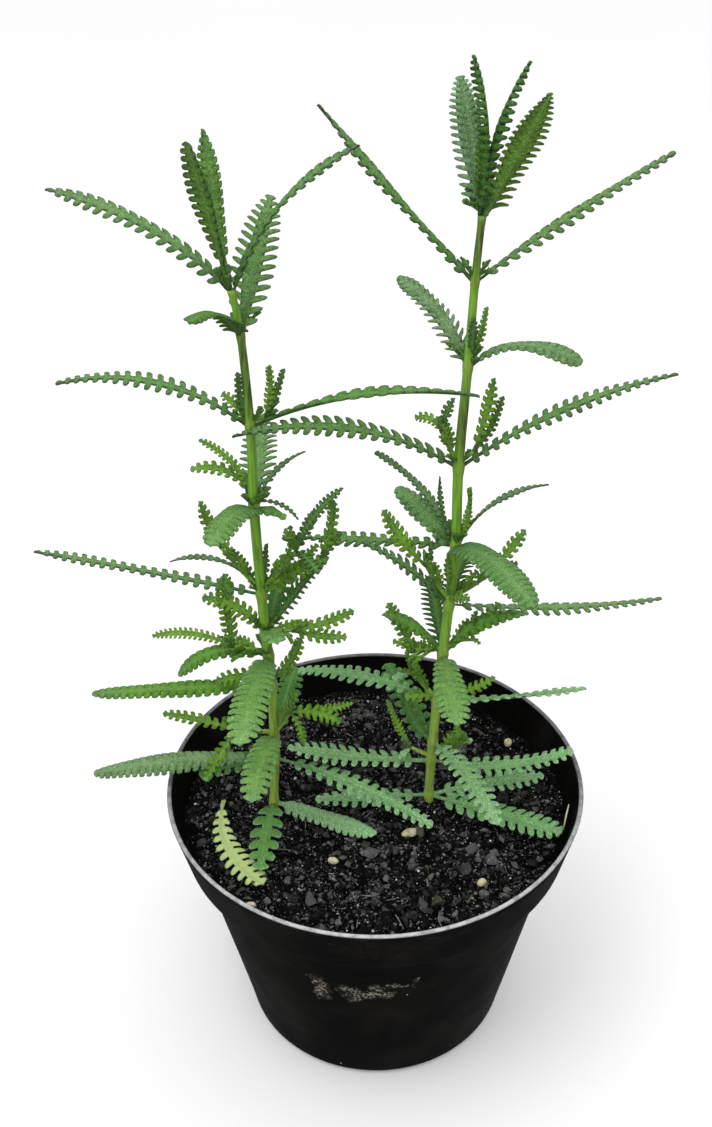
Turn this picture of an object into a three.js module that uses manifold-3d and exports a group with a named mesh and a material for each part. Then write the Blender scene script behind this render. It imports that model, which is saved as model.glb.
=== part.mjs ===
// A young fringed lavender, two leafy stems standing in a 12 cm black plastic nursery pot.
// Millimetres, +Z up. The origin is the centre of the pot's underside, and -Y is the pot's front.
import * as THREE from 'three';
import { mergeVertices } from 'three/addons/utils/BufferGeometryUtils.js';
import Module from 'manifold-3d';

const wasm = await Module();
wasm.setup();

// Pot
const POT_HEIGHT = 83;
const RIM_RADIUS = 60;
const BAND_HEIGHT = 16;
const BAND_FOOT_RADIUS = 56.5;
const BODY_TOP_RADIUS = 53;
const SHOULDER_FALL = 0.8;
const BASE_RADIUS = 39.3;
const WALL = 1.3;
const BASE_THICKNESS = 1.6;
const BASE_ROUND = 3.5;
const BASE_ROUND_MIDDLE = BASE_ROUND * (1 - Math.SQRT1_2);
const RIM_ROUND = 0.5;
const POT_SIDES = 48;
const DRAIN_HOLES = 6;
const DRAIN_RADIUS = 4;
const DRAIN_CIRCLE_RADIUS = 25;
const DRAIN_SIDES = 12;

// Soil
const SOIL_LEVEL = 70.5;
const SOIL_SIDES = 24;
const SOIL_RINGS = 7;
const SOIL_CRUMB = 0.6;
const SOIL_SWELL = 0.35;
const SWELL_LENGTH = 9;
const SWELL_BREADTH = 7;
const SWELL_SLANT = 15;
const LEVEL_EDGE = 1;
const STEM_HOLE_DEPTH = 18;
const CLEARANCE = 0.3;

// Stems and leaves
const STEM_FOOT_SIDE = 3.2;
const STEM_TIP_SIDE = 2;
const SHOOT_SIDE = 1.4;
const ROOT_REACH = 0.6;
const AXIL_RISE = 2;
const STALK_WIDTH = 1.3;
const STALK_THICKNESS = 1.1;
const BLADE_THICKNESS = 0.7;
const STALK_SHARE = 0.13;
const TOOTH_PITCH = 5.8;
const SMALL_TOOTH_PITCH = 4.8;
const SMALL_LEAF = 24;
const NOTCH = 0.52;
const TOOTH_LEAN = 0.65;
const LEAST_TEETH = 3;
const SEED = 11;
const MERGE_DISTANCE = 1e-4;

// The blade's outline follows a half wave, from this share of it and over this share of it
const OUTLINE_START = 0.12;
const OUTLINE_SPAN = 0.8;

// Small leaves of the side shoots: how far they spread from the stalk, in degrees, their droop and breadth
const FOOT_SPREAD = 62;
const TIP_SPREAD = 28;
const SMALL_DROOP = 14;
const DROOP_DRAW = 10;
const TURN_DRAW = 9;
const LENGTH_DRAW = 0.12;
const SMALL_LEAF_BREADTH = 0.27;

// Each node of a stem is where its leaves grow: its place, its leaves and the side shoots in their axils.
// A leaf is [bearing, rise, droop, length, width, roll]. It sets out at the bearing, anticlockwise from +X
// seen from above, and at the rise above the horizontal. Its tip has bent down by the droop, and its blade
// is turned by the roll about its rib. A shoot is [bearing, rise, stalk length, leaf length, pairs, turn].
const LEFT_STEM = [
  { at: [-29.7, 1.8, 73], leaves: [[265, 22, 36, 30, 9, 0], [332, 5, 6, 32, 8.5, 0]], shoots: [] },
  {
    at: [-28.7, 1.8, 90],
    leaves: [[183, 8, 22, 52, 8, -10], [340, -2, 25, 49, 8, 0], [190, 10, 35, 22, 8, 0]],
    shoots: [],
  },
  {
    at: [-28.6, 1.8, 98],
    leaves: [[263, 40, 55, 37, 9, 0], [80, 10, 15, 30, 8, 0]],
    shoots: [[190, 20, 9, 18, 1, 20], [345, 20, 8, 17, 2, 40]],
  },
  {
    at: [-28.5, 1.8, 117],
    leaves: [[185, 3, 4, 49, 8, -10]],
    shoots: [[185, 20, 5, 18, 1, 60], [20, 60, 5, 20, 1, 60]],
  },
  { at: [-29, 1.8, 127], leaves: [[264, 25, 30, 47, 10, 0]], shoots: [[180, 30, 9, 20, 2, 0]] },
  {
    at: [-29.5, 1.8, 135],
    leaves: [[200, 65, 45, 25, 7, 0], [285, 40, 40, 18, 9, 0], [340, 15, -20, 28, 8, 0],
      [45, 12, -10, 27, 8, 0]],
    shoots: [[170, 40, 7, 14, 1, 30], [330, 30, 7, 16, 1, 50]],
  },
  {
    at: [-30, 1.8, 148],
    leaves: [[180, 14, 2, 61, 7, 0]],
    shoots: [[175, 62, 5, 22, 1, 20], [10, 52, 18, 19, 3, 10]],
  },
  {
    at: [-30.7, 1.8, 175],
    leaves: [[258, 40, 55, 31, 10, 0], [85, 15, 0, 32, 9, 0]],
    shoots: [[180, 33, 3, 19, 1, 80], [5, 50, 4, 17, 1, 20]],
  },
  {
    at: [-30.5, 1.8, 199],
    leaves: [[180, 42, 55, 50, 8, 10], [351, 32, 40, 59, 7, -20]],
    shoots: [[170, 80, 3, 13, 1, 10], [20, 80, 4, 16, 1, 10]],
  },
  { at: [-31.6, 1.8, 224], leaves: [[250, 55, 50, 31, 8.5, 0], [60, 60, 5, 34, 11, 0]], shoots: [] },
  {
    at: [-33.8, 1.8, 238],
    leaves: [[180, 38, 15, 46, 8, -15], [348, 60, 27, 45, 6.5, -25], [235, 72, -5, 39, 8.5, 0],
      [125, 75, -8, 35, 8, 0]],
    shoots: [],
  },
];

const RIGHT_STEM = [
  {
    at: [16, 4.5, 72.5],
    leaves: [[184, 2, 2, 33, 8, 0], [5, 12, 10, 34, 8, 0], [333, 3, 0, 41, 10, 0]],
    shoots: [],
  },
  {
    at: [16.4, 4.5, 86],
    leaves: [[186, 5, -15, 42, 9, 0], [2, -20, -45, 42, 8, 0]],
    shoots: [[160, 55, 8, 12, 1, 30], [25, 40, 6, 12, 1, 60]],
  },
  { at: [16.8, 4.5, 93], leaves: [[295, 20, 40, 38, 10, 0], [115, 15, 0, 30, 9, 0]], shoots: [] },
  {
    at: [17.7, 4.5, 108],
    leaves: [[155, 12, 32, 44, 8.5, 0], [8, -5, -8, 43, 5, -20]],
    shoots: [[165, 30, 5, 12, 1, 60], [10, 35, 5, 16, 1, 60]],
  },
  {
    at: [19, 4.5, 125],
    leaves: [[200, 55, 30, 26, 7, 0], [340, 60, 45, 30, 7, 0], [272, 15, 10, 39, 10, 0],
      [95, 25, 20, 28, 8, 0]],
    shoots: [[170, 55, 11, 16, 2, 30], [15, 55, 9, 16, 2, 50]],
  },
  {
    at: [20.3, 4.5, 142],
    leaves: [[196, 35, 5, 50, 7.5, -10], [0, 3, 5, 58, 6.5, 0], [75, 25, 50, 25, 8, 0]],
    shoots: [[165, 60, 9, 17, 2, 40], [15, 45, 10, 16, 2, 60], [265, 75, 3, 13, 1, 0]],
  },
  {
    at: [21.6, 4.5, 161],
    leaves: [[295, 30, 45, 42, 11, 0], [160, -8, 2, 45, 8, 0], [10, 60, 60, 32, 6, -30],
      [170, 65, 35, 34, 6, 28], [140, 35, 15, 22, 9, -20]],
    shoots: [[200, 75, 2, 13, 1, 60], [30, 75, 3, 14, 1, 60]],
  },
  {
    at: [21.7, 4.5, 185],
    leaves: [[192, 38, 45, 62, 8.5, -10], [0, 36, 27, 60, 9, 0]],
    shoots: [[165, 70, 6, 11, 1, 60], [20, 80, 5, 17, 1, 20]],
  },
  {
    at: [23.2, 4.5, 213.5],
    leaves: [[130, 57, 55, 30, 9, 0], [325, 55, 80, 35, 9, 0]],
    shoots: [[215, 80, 2, 12, 1, 30], [60, 78, 3, 14, 1, 60]],
  },
  {
    at: [24.2, 4.5, 236],
    leaves: [[180, 51, 3, 56, 7.5, -3], [0, 44, 22, 53, 7.5, -5]],
    shoots: [],
  },
  {
    at: [25.3, 4.5, 252],
    leaves: [[130, 65, -15, 31, 10, -20], [118, 76, -28, 38, 7, 15], [55, 72, 22, 36, 6, 45],
      [318, 60, 0, 36, 11, -35]],
    shoots: [[90, 88, 2, 12, 1, 0]],
  },
];

// The yellow leaf that has dropped on the soil: root, then bearing, rise, droop, length, width and roll.
const FALLEN_LEAF_ROOT = [-44.6, 3.5, 72.2];
const FALLEN_LEAF = [262, 0, 0, 38, 8, 0];
const FALLEN_LEAF_SWEEP = 58;

// Pale stones lying in hollows of the soil: place, length, breadth and turn.
const PEBBLES = [
  [9.9, -9.8, 4.8, 2.6, 15],
  [-12.2, -20.6, 3, 2, -20],
  [29.2, -29.7, 2.8, 2.2, 40],
  [41.7, 29, 3, 2.4, 70],
  [-34.9, -37.2, 3.2, 2, 10],
];
const PEBBLE_LIFT = 0.5;
const PEBBLE_DETAIL = 0;

const POT_BLACK = 0x17181a;
const SOIL_BLACK = 0x1c1815;
const LEAF_GREEN = 0x4f7a46;
const DEAD_LEAF_YELLOW = 0xc9cf7d;
const STONE_CREAM = 0xd8cdb0;
const PLASTIC_ROUGHNESS = 0.55;
const SOIL_ROUGHNESS = 0.95;
const LEAF_ROUGHNESS = 0.7;
const STONE_ROUGHNESS = 0.8;

const plant = new THREE.Group();

function addPiece(name, geometry, colour, roughness) {
  const material = new THREE.MeshStandardMaterial({ color: colour, roughness, metalness: 0 });
  const mesh = new THREE.Mesh(geometry, material);
  mesh.name = name;
  plant.add(mesh);
}

// Repeatable draws between -1 and 1
function drawsFrom(seed) {
  let state = seed;
  return () => {
    state = (state + 0x6d2b79f5) | 0;
    let mixed = Math.imul(state ^ (state >>> 15), 1 | state);
    mixed ^= mixed + Math.imul(mixed ^ (mixed >>> 7), 61 | mixed);
    return ((mixed ^ (mixed >>> 14)) >>> 0) / 2 ** 31 - 1;
  };
}

// Solids: a closed geometry to a solid and back, and the union of many

// The geometry with its corners' places only, so that those in one place can be merged
function bareOf(geometry) {
  geometry.deleteAttribute('normal');
  geometry.deleteAttribute('uv');
  return geometry;
}

function solidOf(geometry) {
  const closed = mergeVertices(geometry, MERGE_DISTANCE);
  return new wasm.Manifold(new wasm.Mesh({
    numProp: 3,
    vertProperties: new Float32Array(closed.getAttribute('position').array),
    triVerts: new Uint32Array(closed.getIndex().array),
  }));
}

function geometryOf(solid) {
  const mesh = solid.getMesh();
  const geometry = new THREE.BufferGeometry();
  geometry.setAttribute('position', new THREE.BufferAttribute(mesh.vertProperties, 3));
  geometry.setIndex(new THREE.BufferAttribute(mesh.triVerts, 1));
  geometry.computeVertexNormals();
  return geometry;
}

// The union's one body, without the scraps and sealed hollows that crossing leaves can make
function fuse(solids) {
  const whole = solids.reduce((sum, solid) => sum.add(solid));
  const bodies = whole.decompose();
  return bodies.reduce((largest, body) => (body.volume() > largest.volume() ? body : largest));
}

// A closed solid through rings of four corners, whose two broad faces are split alike
function loft(rings) {
  const corners = rings.flat();
  const faces = [];
  for (let ring = 0; ring < rings.length - 1; ring += 1) {
    for (let side = 0; side < 4; side += 1) {
      const a = ring * 4 + side;
      const b = ring * 4 + ((side + 1) % 4);
      const c = b + 4;
      const d = a + 4;
      if (side < 2) faces.push(a, b, c, a, c, d);
      else faces.push(a, b, d, b, c, d);
    }
  }
  const end = (rings.length - 1) * 4;
  faces.push(0, 2, 1, 0, 3, 2);
  faces.push(end, end + 1, end + 2, end, end + 2, end + 3);
  const geometry = new THREE.BufferGeometry().setFromPoints(corners);
  geometry.setIndex(faces);
  return solidOf(geometry);
}

// The four corners of a flat section round a point
function section(point, across, up, width, thickness) {
  const corner = (side, face) => point.clone()
    .addScaledVector(across, (side * width) / 2)
    .addScaledVector(up, (face * thickness) / 2);
  return [corner(-1, -1), corner(1, -1), corner(1, 1), corner(-1, 1)];
}

function direction(bearing, rise) {
  const turn = THREE.MathUtils.degToRad(bearing);
  const climb = THREE.MathUtils.degToRad(rise);
  return new THREE.Vector3(
    Math.cos(climb) * Math.cos(turn),
    Math.cos(climb) * Math.sin(turn),
    Math.sin(climb),
  );
}

// Leaves: a narrow stalk and a blade with a fringe of teeth

// Where a leaf has a section: its share of the length, and its width and thickness there
function leafSections(length, width) {
  const pitch = length < SMALL_LEAF ? SMALL_TOOTH_PITCH : TOOTH_PITCH;
  const teeth = Math.max(LEAST_TEETH, Math.round((length * (1 - STALK_SHARE)) / pitch));
  const along = (share) => STALK_SHARE + share * (1 - STALK_SHARE);
  const wave = (share) => Math.sin(Math.PI * (OUTLINE_START + OUTLINE_SPAN * share));
  const outline = (share) => width * Math.sqrt(wave(share));
  const sections = [[0, STALK_WIDTH, STALK_THICKNESS]];
  for (let tooth = 0; tooth < teeth; tooth += 1) {
    const notch = tooth / teeth;
    const crest = (tooth + TOOTH_LEAN) / teeth;
    sections.push([along(notch), outline(notch) * NOTCH, BLADE_THICKNESS]);
    sections.push([along(crest), outline(crest), BLADE_THICKNESS]);
  }
  sections.push([1, outline(1) * NOTCH, BLADE_THICKNESS]);
  return sections;
}

function leaf(root, [bearing, rise, droop, length, width, roll], sweep = 0) {
  const point = new THREE.Vector3(...root);
  let reached = 0;
  const rings = leafSections(length, width).map(([share, wide, thick]) => {
    const middle = (reached + share) / 2;
    const step = direction(bearing + sweep * middle, rise - droop * middle);
    point.addScaledVector(step, (share - reached) * length);
    reached = share;
    const heading = bearing + sweep * share;
    const along = direction(heading, rise - droop * share);
    const turn = THREE.MathUtils.degToRad(roll);
    const across = direction(heading + 90, 0).applyAxisAngle(along, turn);
    const up = along.clone().cross(across);
    return section(point, across, up, wide, thick);
  });
  return loft(rings);
}

// Side shoots: a thin stalk with crossed pairs of small leaves, the last pair at its tip

function shoot(root, [bearing, rise, stalk, leafLength, pairs, turn], draw) {
  const foot = new THREE.Vector3(...root);
  const along = direction(bearing, rise);
  const across = direction(bearing + 90, 0);
  const up = along.clone().cross(across);
  const tip = foot.clone().addScaledVector(along, stalk);
  const ends = [foot, tip].map((point) => section(point, across, up, SHOOT_SIDE, SHOOT_SIDE));
  const pieces = [loft(ends)];
  for (let pair = 0; pair < pairs; pair += 1) {
    const share = (pair + 1) / pairs;
    const spread = THREE.MathUtils.degToRad(THREE.MathUtils.lerp(FOOT_SPREAD, TIP_SPREAD, share));
    for (const side of [0, 180]) {
      const round = THREE.MathUtils.degToRad(turn + side + 90 * pair + TURN_DRAW * draw());
      const aim = along.clone().multiplyScalar(Math.cos(spread))
        .addScaledVector(across, Math.sin(spread) * Math.cos(round))
        .addScaledVector(up, Math.sin(spread) * Math.sin(round));
      const heading = THREE.MathUtils.radToDeg(Math.atan2(aim.y, aim.x));
      const climb = THREE.MathUtils.radToDeg(Math.asin(aim.z));
      const length = leafLength * (1 + LENGTH_DRAW * draw());
      const from = foot.clone().addScaledVector(along, stalk * share - SHOOT_SIDE / 2);
      const droop = SMALL_DROOP + DROOP_DRAW * draw();
      const shape = [heading, climb, droop, length, length * SMALL_LEAF_BREADTH, 0];
      pieces.push(leaf(from.toArray(), shape));
    }
  }
  return pieces;
}

// Stems: square, thinner towards the tip, through their nodes

function stem(nodes, spare) {
  const foot = [nodes[0].at[0], nodes[0].at[1], SOIL_LEVEL - STEM_HOLE_DEPTH + CLEARANCE - spare];
  const places = [foot, ...nodes.map((node) => node.at)].map((place) => new THREE.Vector3(...place));
  const east = new THREE.Vector3(1, 0, 0);
  const north = new THREE.Vector3(0, 1, 0);
  return loft(places.map((place, number) => {
    const side = THREE.MathUtils.lerp(STEM_FOOT_SIDE, STEM_TIP_SIDE, number / (places.length - 1));
    return section(place, east, north, side + 2 * spare, side + 2 * spare);
  }));
}

// Just inside the stem's skin, towards the bearing
function rootOn(node, bearing, lift) {
  const root = new THREE.Vector3(...node.at).addScaledVector(direction(bearing, 0), ROOT_REACH);
  return [root.x, root.y, root.z + lift];
}

function leafyStem(nodes, draw) {
  const pieces = [stem(nodes, 0)];
  for (const node of nodes) {
    node.leaves.forEach((shape) => pieces.push(leaf(rootOn(node, shape[0], 0), shape)));
    node.shoots.forEach((shape) => pieces.push(...shoot(rootOn(node, shape[0], AXIL_RISE), shape, draw)));
  }
  return fuse(pieces);
}

// Pot: a thin tapered shell with a shoulder, a band round its rim and drain holes in its base

// The shoulder's foot and top, where the body ends and the band begins
const SHOULDER_TOP = POT_HEIGHT - BAND_HEIGHT;
const SHOULDER_FOOT = SHOULDER_TOP - SHOULDER_FALL;

function bodyRadius(height) {
  return THREE.MathUtils.mapLinear(height, 0, SHOULDER_FOOT, BASE_RADIUS, BODY_TOP_RADIUS);
}

function bandRadius(height) {
  return THREE.MathUtils.mapLinear(height, SHOULDER_TOP, POT_HEIGHT, BAND_FOOT_RADIUS, RIM_RADIUS);
}

// A solid of revolution from a profile of [radius, height] that starts and ends on the axis
function turned(profile, sides) {
  const points = profile.map(([radius, height]) => new THREE.Vector2(radius, height));
  const lathe = new THREE.LatheGeometry(points, sides).rotateX(Math.PI / 2);
  return mergeVertices(bareOf(lathe), MERGE_DISTANCE);
}

function pot() {
  const shell = solidOf(turned([
    [0, 0],
    [BASE_RADIUS - BASE_ROUND, 0],
    [BASE_RADIUS - BASE_ROUND_MIDDLE, BASE_ROUND_MIDDLE],
    [bodyRadius(BASE_ROUND), BASE_ROUND],
    [BODY_TOP_RADIUS, SHOULDER_FOOT],
    [BAND_FOOT_RADIUS, SHOULDER_TOP],
    [RIM_RADIUS, POT_HEIGHT - RIM_ROUND],
    [RIM_RADIUS - RIM_ROUND, POT_HEIGHT],
    [RIM_RADIUS - WALL, POT_HEIGHT - RIM_ROUND / 2],
    [BAND_FOOT_RADIUS - WALL, SHOULDER_TOP + WALL],
    [BODY_TOP_RADIUS - WALL, SHOULDER_FOOT + WALL],
    [bodyRadius(BASE_ROUND) - WALL, BASE_ROUND],
    [BASE_RADIUS - BASE_ROUND, BASE_THICKNESS],
    [0, BASE_THICKNESS],
  ], POT_SIDES));
  const drill = new THREE.CylinderGeometry(DRAIN_RADIUS, DRAIN_RADIUS, 3 * BASE_THICKNESS, DRAIN_SIDES);
  drill.rotateX(Math.PI / 2);
  drill.translate(DRAIN_CIRCLE_RADIUS, 0, BASE_THICKNESS / 2);
  let drilled = shell;
  for (let hole = 0; hole < DRAIN_HOLES; hole += 1) {
    const placed = bareOf(drill.clone().rotateZ((hole * 2 * Math.PI) / DRAIN_HOLES));
    drilled = drilled.subtract(solidOf(placed));
  }
  return drilled;
}

// Soil: fills the pot up into the band, with a crumbly top

function soilHeight(x, y, draw) {
  const swell = Math.sin(x / SWELL_LENGTH + 1) + Math.cos(y / SWELL_BREADTH - x / SWELL_SLANT);
  return SOIL_LEVEL + (SOIL_SWELL * swell) / 2 + SOIL_CRUMB * draw();
}

function soilBody() {
  const gap = WALL + CLEARANCE;
  const edge = bandRadius(SOIL_LEVEL) - gap;
  const floor = BASE_THICKNESS + CLEARANCE;
  const profile = [
    [0, floor],
    [BASE_RADIUS - BASE_ROUND - CLEARANCE, floor],
    [bodyRadius(BASE_ROUND) - gap, BASE_ROUND + CLEARANCE],
    [BODY_TOP_RADIUS - gap, SHOULDER_FOOT + WALL],
    [BAND_FOOT_RADIUS - gap, SHOULDER_TOP + WALL + CLEARANCE],
  ];
  for (let ring = SOIL_RINGS; ring >= 0; ring -= 1) {
    profile.push([(edge * ring) / SOIL_RINGS, SOIL_LEVEL]);
  }
  const geometry = turned(profile, SOIL_SIDES);
  const draw = drawsFrom(SEED);
  const position = geometry.getAttribute('position');
  for (let corner = 0; corner < position.count; corner += 1) {
    const x = position.getX(corner);
    const y = position.getY(corner);
    if (position.getZ(corner) > SOIL_LEVEL - MERGE_DISTANCE && Math.hypot(x, y) < edge - LEVEL_EDGE) {
      position.setZ(corner, soilHeight(x, y, draw));
    }
  }
  return solidOf(geometry);
}

function pebble([x, y, length, breadth, turn], spare) {
  const stone = new THREE.IcosahedronGeometry(1, PEBBLE_DETAIL);
  stone.scale(length / 2 + spare, breadth / 2 + spare, breadth / 2 + spare);
  stone.rotateZ(THREE.MathUtils.degToRad(turn));
  stone.translate(x, y, SOIL_LEVEL + PEBBLE_LIFT);
  return stone;
}

function soil() {
  let body = soilBody();
  for (const nodes of [LEFT_STEM, RIGHT_STEM]) {
    body = body.subtract(stem(nodes, CLEARANCE));
  }
  for (const stone of PEBBLES) {
    body = body.subtract(solidOf(bareOf(pebble(stone, CLEARANCE))));
  }
  return body;
}

const draw = drawsFrom(SEED);
addPiece('pot', geometryOf(pot()), POT_BLACK, PLASTIC_ROUGHNESS);
addPiece('soil', geometryOf(soil()), SOIL_BLACK, SOIL_ROUGHNESS);
addPiece('leafy_stem_left', geometryOf(leafyStem(LEFT_STEM, draw)), LEAF_GREEN, LEAF_ROUGHNESS);
addPiece('leafy_stem_right', geometryOf(leafyStem(RIGHT_STEM, draw)), LEAF_GREEN, LEAF_ROUGHNESS);
addPiece(
  'fallen_leaf',
  geometryOf(leaf(FALLEN_LEAF_ROOT, FALLEN_LEAF, FALLEN_LEAF_SWEEP)),
  DEAD_LEAF_YELLOW,
  LEAF_ROUGHNESS,
);
PEBBLES.forEach((stone, number) => {
  addPiece(`pebble_${number + 1}`, pebble(stone, 0), STONE_CREAM, STONE_ROUGHNESS);
});

export default plant;
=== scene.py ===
"""Dresses the packed frame of a young fringed lavender in its black nursery pot.

It is laid out as an add-on and run as a script. Metres, +Z up, and -Y is the pot's front. The tables of
leaves and shoots are in millimetres and degrees, and are scaled as they are read.
"""
import math
from typing import NamedTuple

import bmesh
import bpy
import numpy as np
from mathutils import Matrix, Vector, noise


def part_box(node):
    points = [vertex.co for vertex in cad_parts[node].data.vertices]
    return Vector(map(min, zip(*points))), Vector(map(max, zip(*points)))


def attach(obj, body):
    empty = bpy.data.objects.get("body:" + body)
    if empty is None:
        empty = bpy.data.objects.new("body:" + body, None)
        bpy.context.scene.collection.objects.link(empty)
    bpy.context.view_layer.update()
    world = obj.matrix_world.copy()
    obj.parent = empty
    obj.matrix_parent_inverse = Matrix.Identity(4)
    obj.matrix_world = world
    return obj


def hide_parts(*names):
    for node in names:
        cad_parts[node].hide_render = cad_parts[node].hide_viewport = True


bl_info = {
    "name": "Potted Lavender",
    "version": (1, 0, 0),
    "blender": (4, 5, 0),
    "location": "3D View > Sidebar > Lavender",
    "description": "Builds a young fringed lavender in a black nursery pot around its packed frame",
    "category": "Add Mesh",
}

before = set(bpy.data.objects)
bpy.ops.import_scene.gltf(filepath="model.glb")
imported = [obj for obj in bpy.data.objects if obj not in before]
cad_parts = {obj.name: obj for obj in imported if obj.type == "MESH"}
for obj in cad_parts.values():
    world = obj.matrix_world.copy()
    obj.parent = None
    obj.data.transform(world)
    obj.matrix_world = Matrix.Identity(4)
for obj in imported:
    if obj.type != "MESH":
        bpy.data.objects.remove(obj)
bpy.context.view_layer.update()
POT_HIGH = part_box("pot")[1]
SOIL_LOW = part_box("soil")[0]

MM = 0.001
BODY = "root"

# Millimetres and degrees. A stem is its nodes from the lowest up, each as (place, leaves, shoots). A leaf is
# (bearing, rise, droop, length, width, roll, look): it sets out at the bearing, anticlockwise from +X seen
# from above, and at the rise above the horizontal, and its tip has bent down by the droop. A shoot is
# (bearing, rise, stalk length, its small leaves).
LEFT_STEM = (
    ((-29.7, 1.8, 73), [(265, 22, 36, 30, 9, 0, "coarse"), (333, 8, 12, 33, 6.6, 0, "arched")], []),
    ((-28.7, 1.8, 90), [
        (183, 8, 22, 52, 7, -10, "dusty"),
        (340, -2, 25, 49, 8, 0, "felted"),
        (190, 10, 35, 22, 8, 0, "shaded"),
    ], []),
    ((-28.6, 1.8, 98), [(263, 40, 55, 37, 9, 0, "bright"), (80, 10, 15, 30, 8, 0, "shaded")], [
        (197, 19, 11, [(180, 24, 14, 21, 3.8, -50, "fresh"), (221, -42, 8, 17, 4.1, -50, "fresh")]),
        (335, 61, 10, [
            (352, 19, 54, 15, 4.9, 50, "fresh"), (0, 0, -20, 18, 2.8, 50, "young"),
            (322, -32, 70, 11, 2.8, 50, "young"),
        ]),
    ]),
    ((-28.5, 1.8, 117), [(185, 3, 4, 49, 6, -10, "scalloped")], [
        (192, 0, 0, [(192, 27, 40, 15, 5.1, -50, "fresh")]),
        (344, 0, 0, [(344, 47, -30, 18, 5.1, 50, "fresh")]),
    ]),
    ((-29, 1.8, 127), [(264, 25, 30, 47, 10, 0, "bright"), (185, 36, 95, 28, 5.2, -20, "scalloped")], [
        (186, 14, 9, [(180, 82, -10, 24, 5.9, -50, "fresh"), (180, 36, 52, 23, 3.3, -50, "young")]),
    ]),
    ((-29.5, 1.8, 135), [
        (191, 70, 56, 22, 5.1, -50, "fresh"),
        (285, 48, 40, 18, 6.5, 0, "bright"),
        (13, 58, 12, 28, 6.5, 10, "dim_comb"),
        (76, 22, -5, 25, 8, 0, "shaded"),
    ], [
        (343, 2, 7, [(0, 10, -22, 18, 4.1, 50, "fresh"), (356, -16, -20, 15, 4.1, 50, "fresh")]),
    ]),
    ((-30, 1.8, 148), [
        (180, 15, 2, 60, 5.5, 0, "beaded"),
        (185, 75, 94, 29, 1.6, -30, "blade"),
        (357, 46, 24, 21, 5.1, 50, "fresh"),
    ], [
        (193, 57, 17, [(180, 66, -12, 15, 3.8, -50, "fresh")]),
        (163, 0, 0, [(163, 57, 0, 13, 3.3, -50, "shadow")]),
        (0, 0, 0, [(0, 84, 0, 14, 3, 50, "shadow"), (300, 35, 20, 11, 3.4, 0, "fresh")]),
        (348, 54, 16, [
            (0, 73, 32, 23, 3.3, 50, "shadow"), (215, 85, 40, 8, 4.1, -50, "fresh"),
            (126, 68, 0, 7, 2.6, -50, "shadow"), (250, 62, 20, 11, 3.6, 0, "fresh"),
            (300, 15, 30, 12, 4, 0, "shadow"), (60, 40, 10, 12, 3.6, 30, "shadow"),
        ]),
        (0, 31, 18, [(0, 66, -24, 18, 4.4, 50, "fresh"), (20, 50, 0, 9, 3.1, 50, "shadow")]),
    ]),
    ((-30.7, 1.8, 175), [
        (247, 38, 60, 25, 8.5, 0, "broad"),
        (332, 17, 40, 9, 3.6, 0, "broad"),
        (88, 17, 0, 33, 10, 0, "fern"),
        (0, 80, 56, 22, 1.6, 40, "blade"),
    ], [
        (180, 86, 3, [(180, 76, 48, 20, 2.8, -50, "young"), (180, 69, 90, 18, 3.6, -50, "fresh")]),
        (349, 0, 0, [(349, 20, 84, 13, 1.4, 50, "shadow")]),
    ]),
    ((-30.5, 1.8, 199), [(180, 44, 58, 50, 6, -12, "beaded"), (352, 29, 34, 58, 4.4, 0, "edge")], [
        (180, 0, 0, [(180, 69, -28, 13, 3.3, -50, "shadow"), (153, 49, 20, 9, 3.3, -50, "young")]),
        (10, 8, 3, [(10, 66, -34, 14, 3.1, 50, "young"), (0, 58, -20, 14, 2.9, 50, "shadow")]),
    ]),
    ((-31.6, 1.8, 224), [(250, 55, 50, 31, 7, 0, "sheath"), (60, 68, 12, 33, 12, 0, "fern")], []),
    ((-33.2, 1.8, 235.6), [
        (180, 52, 40, 48, 5.8, -25, "swept"),
        (351, 72, 44, 48, 3.5, 24, "thin"),
        (235, 76, 4, 40, 6, 0, "crested"),
        (132, 78, -4, 37, 6, 0, "crown"),
    ], []),
)
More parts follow.
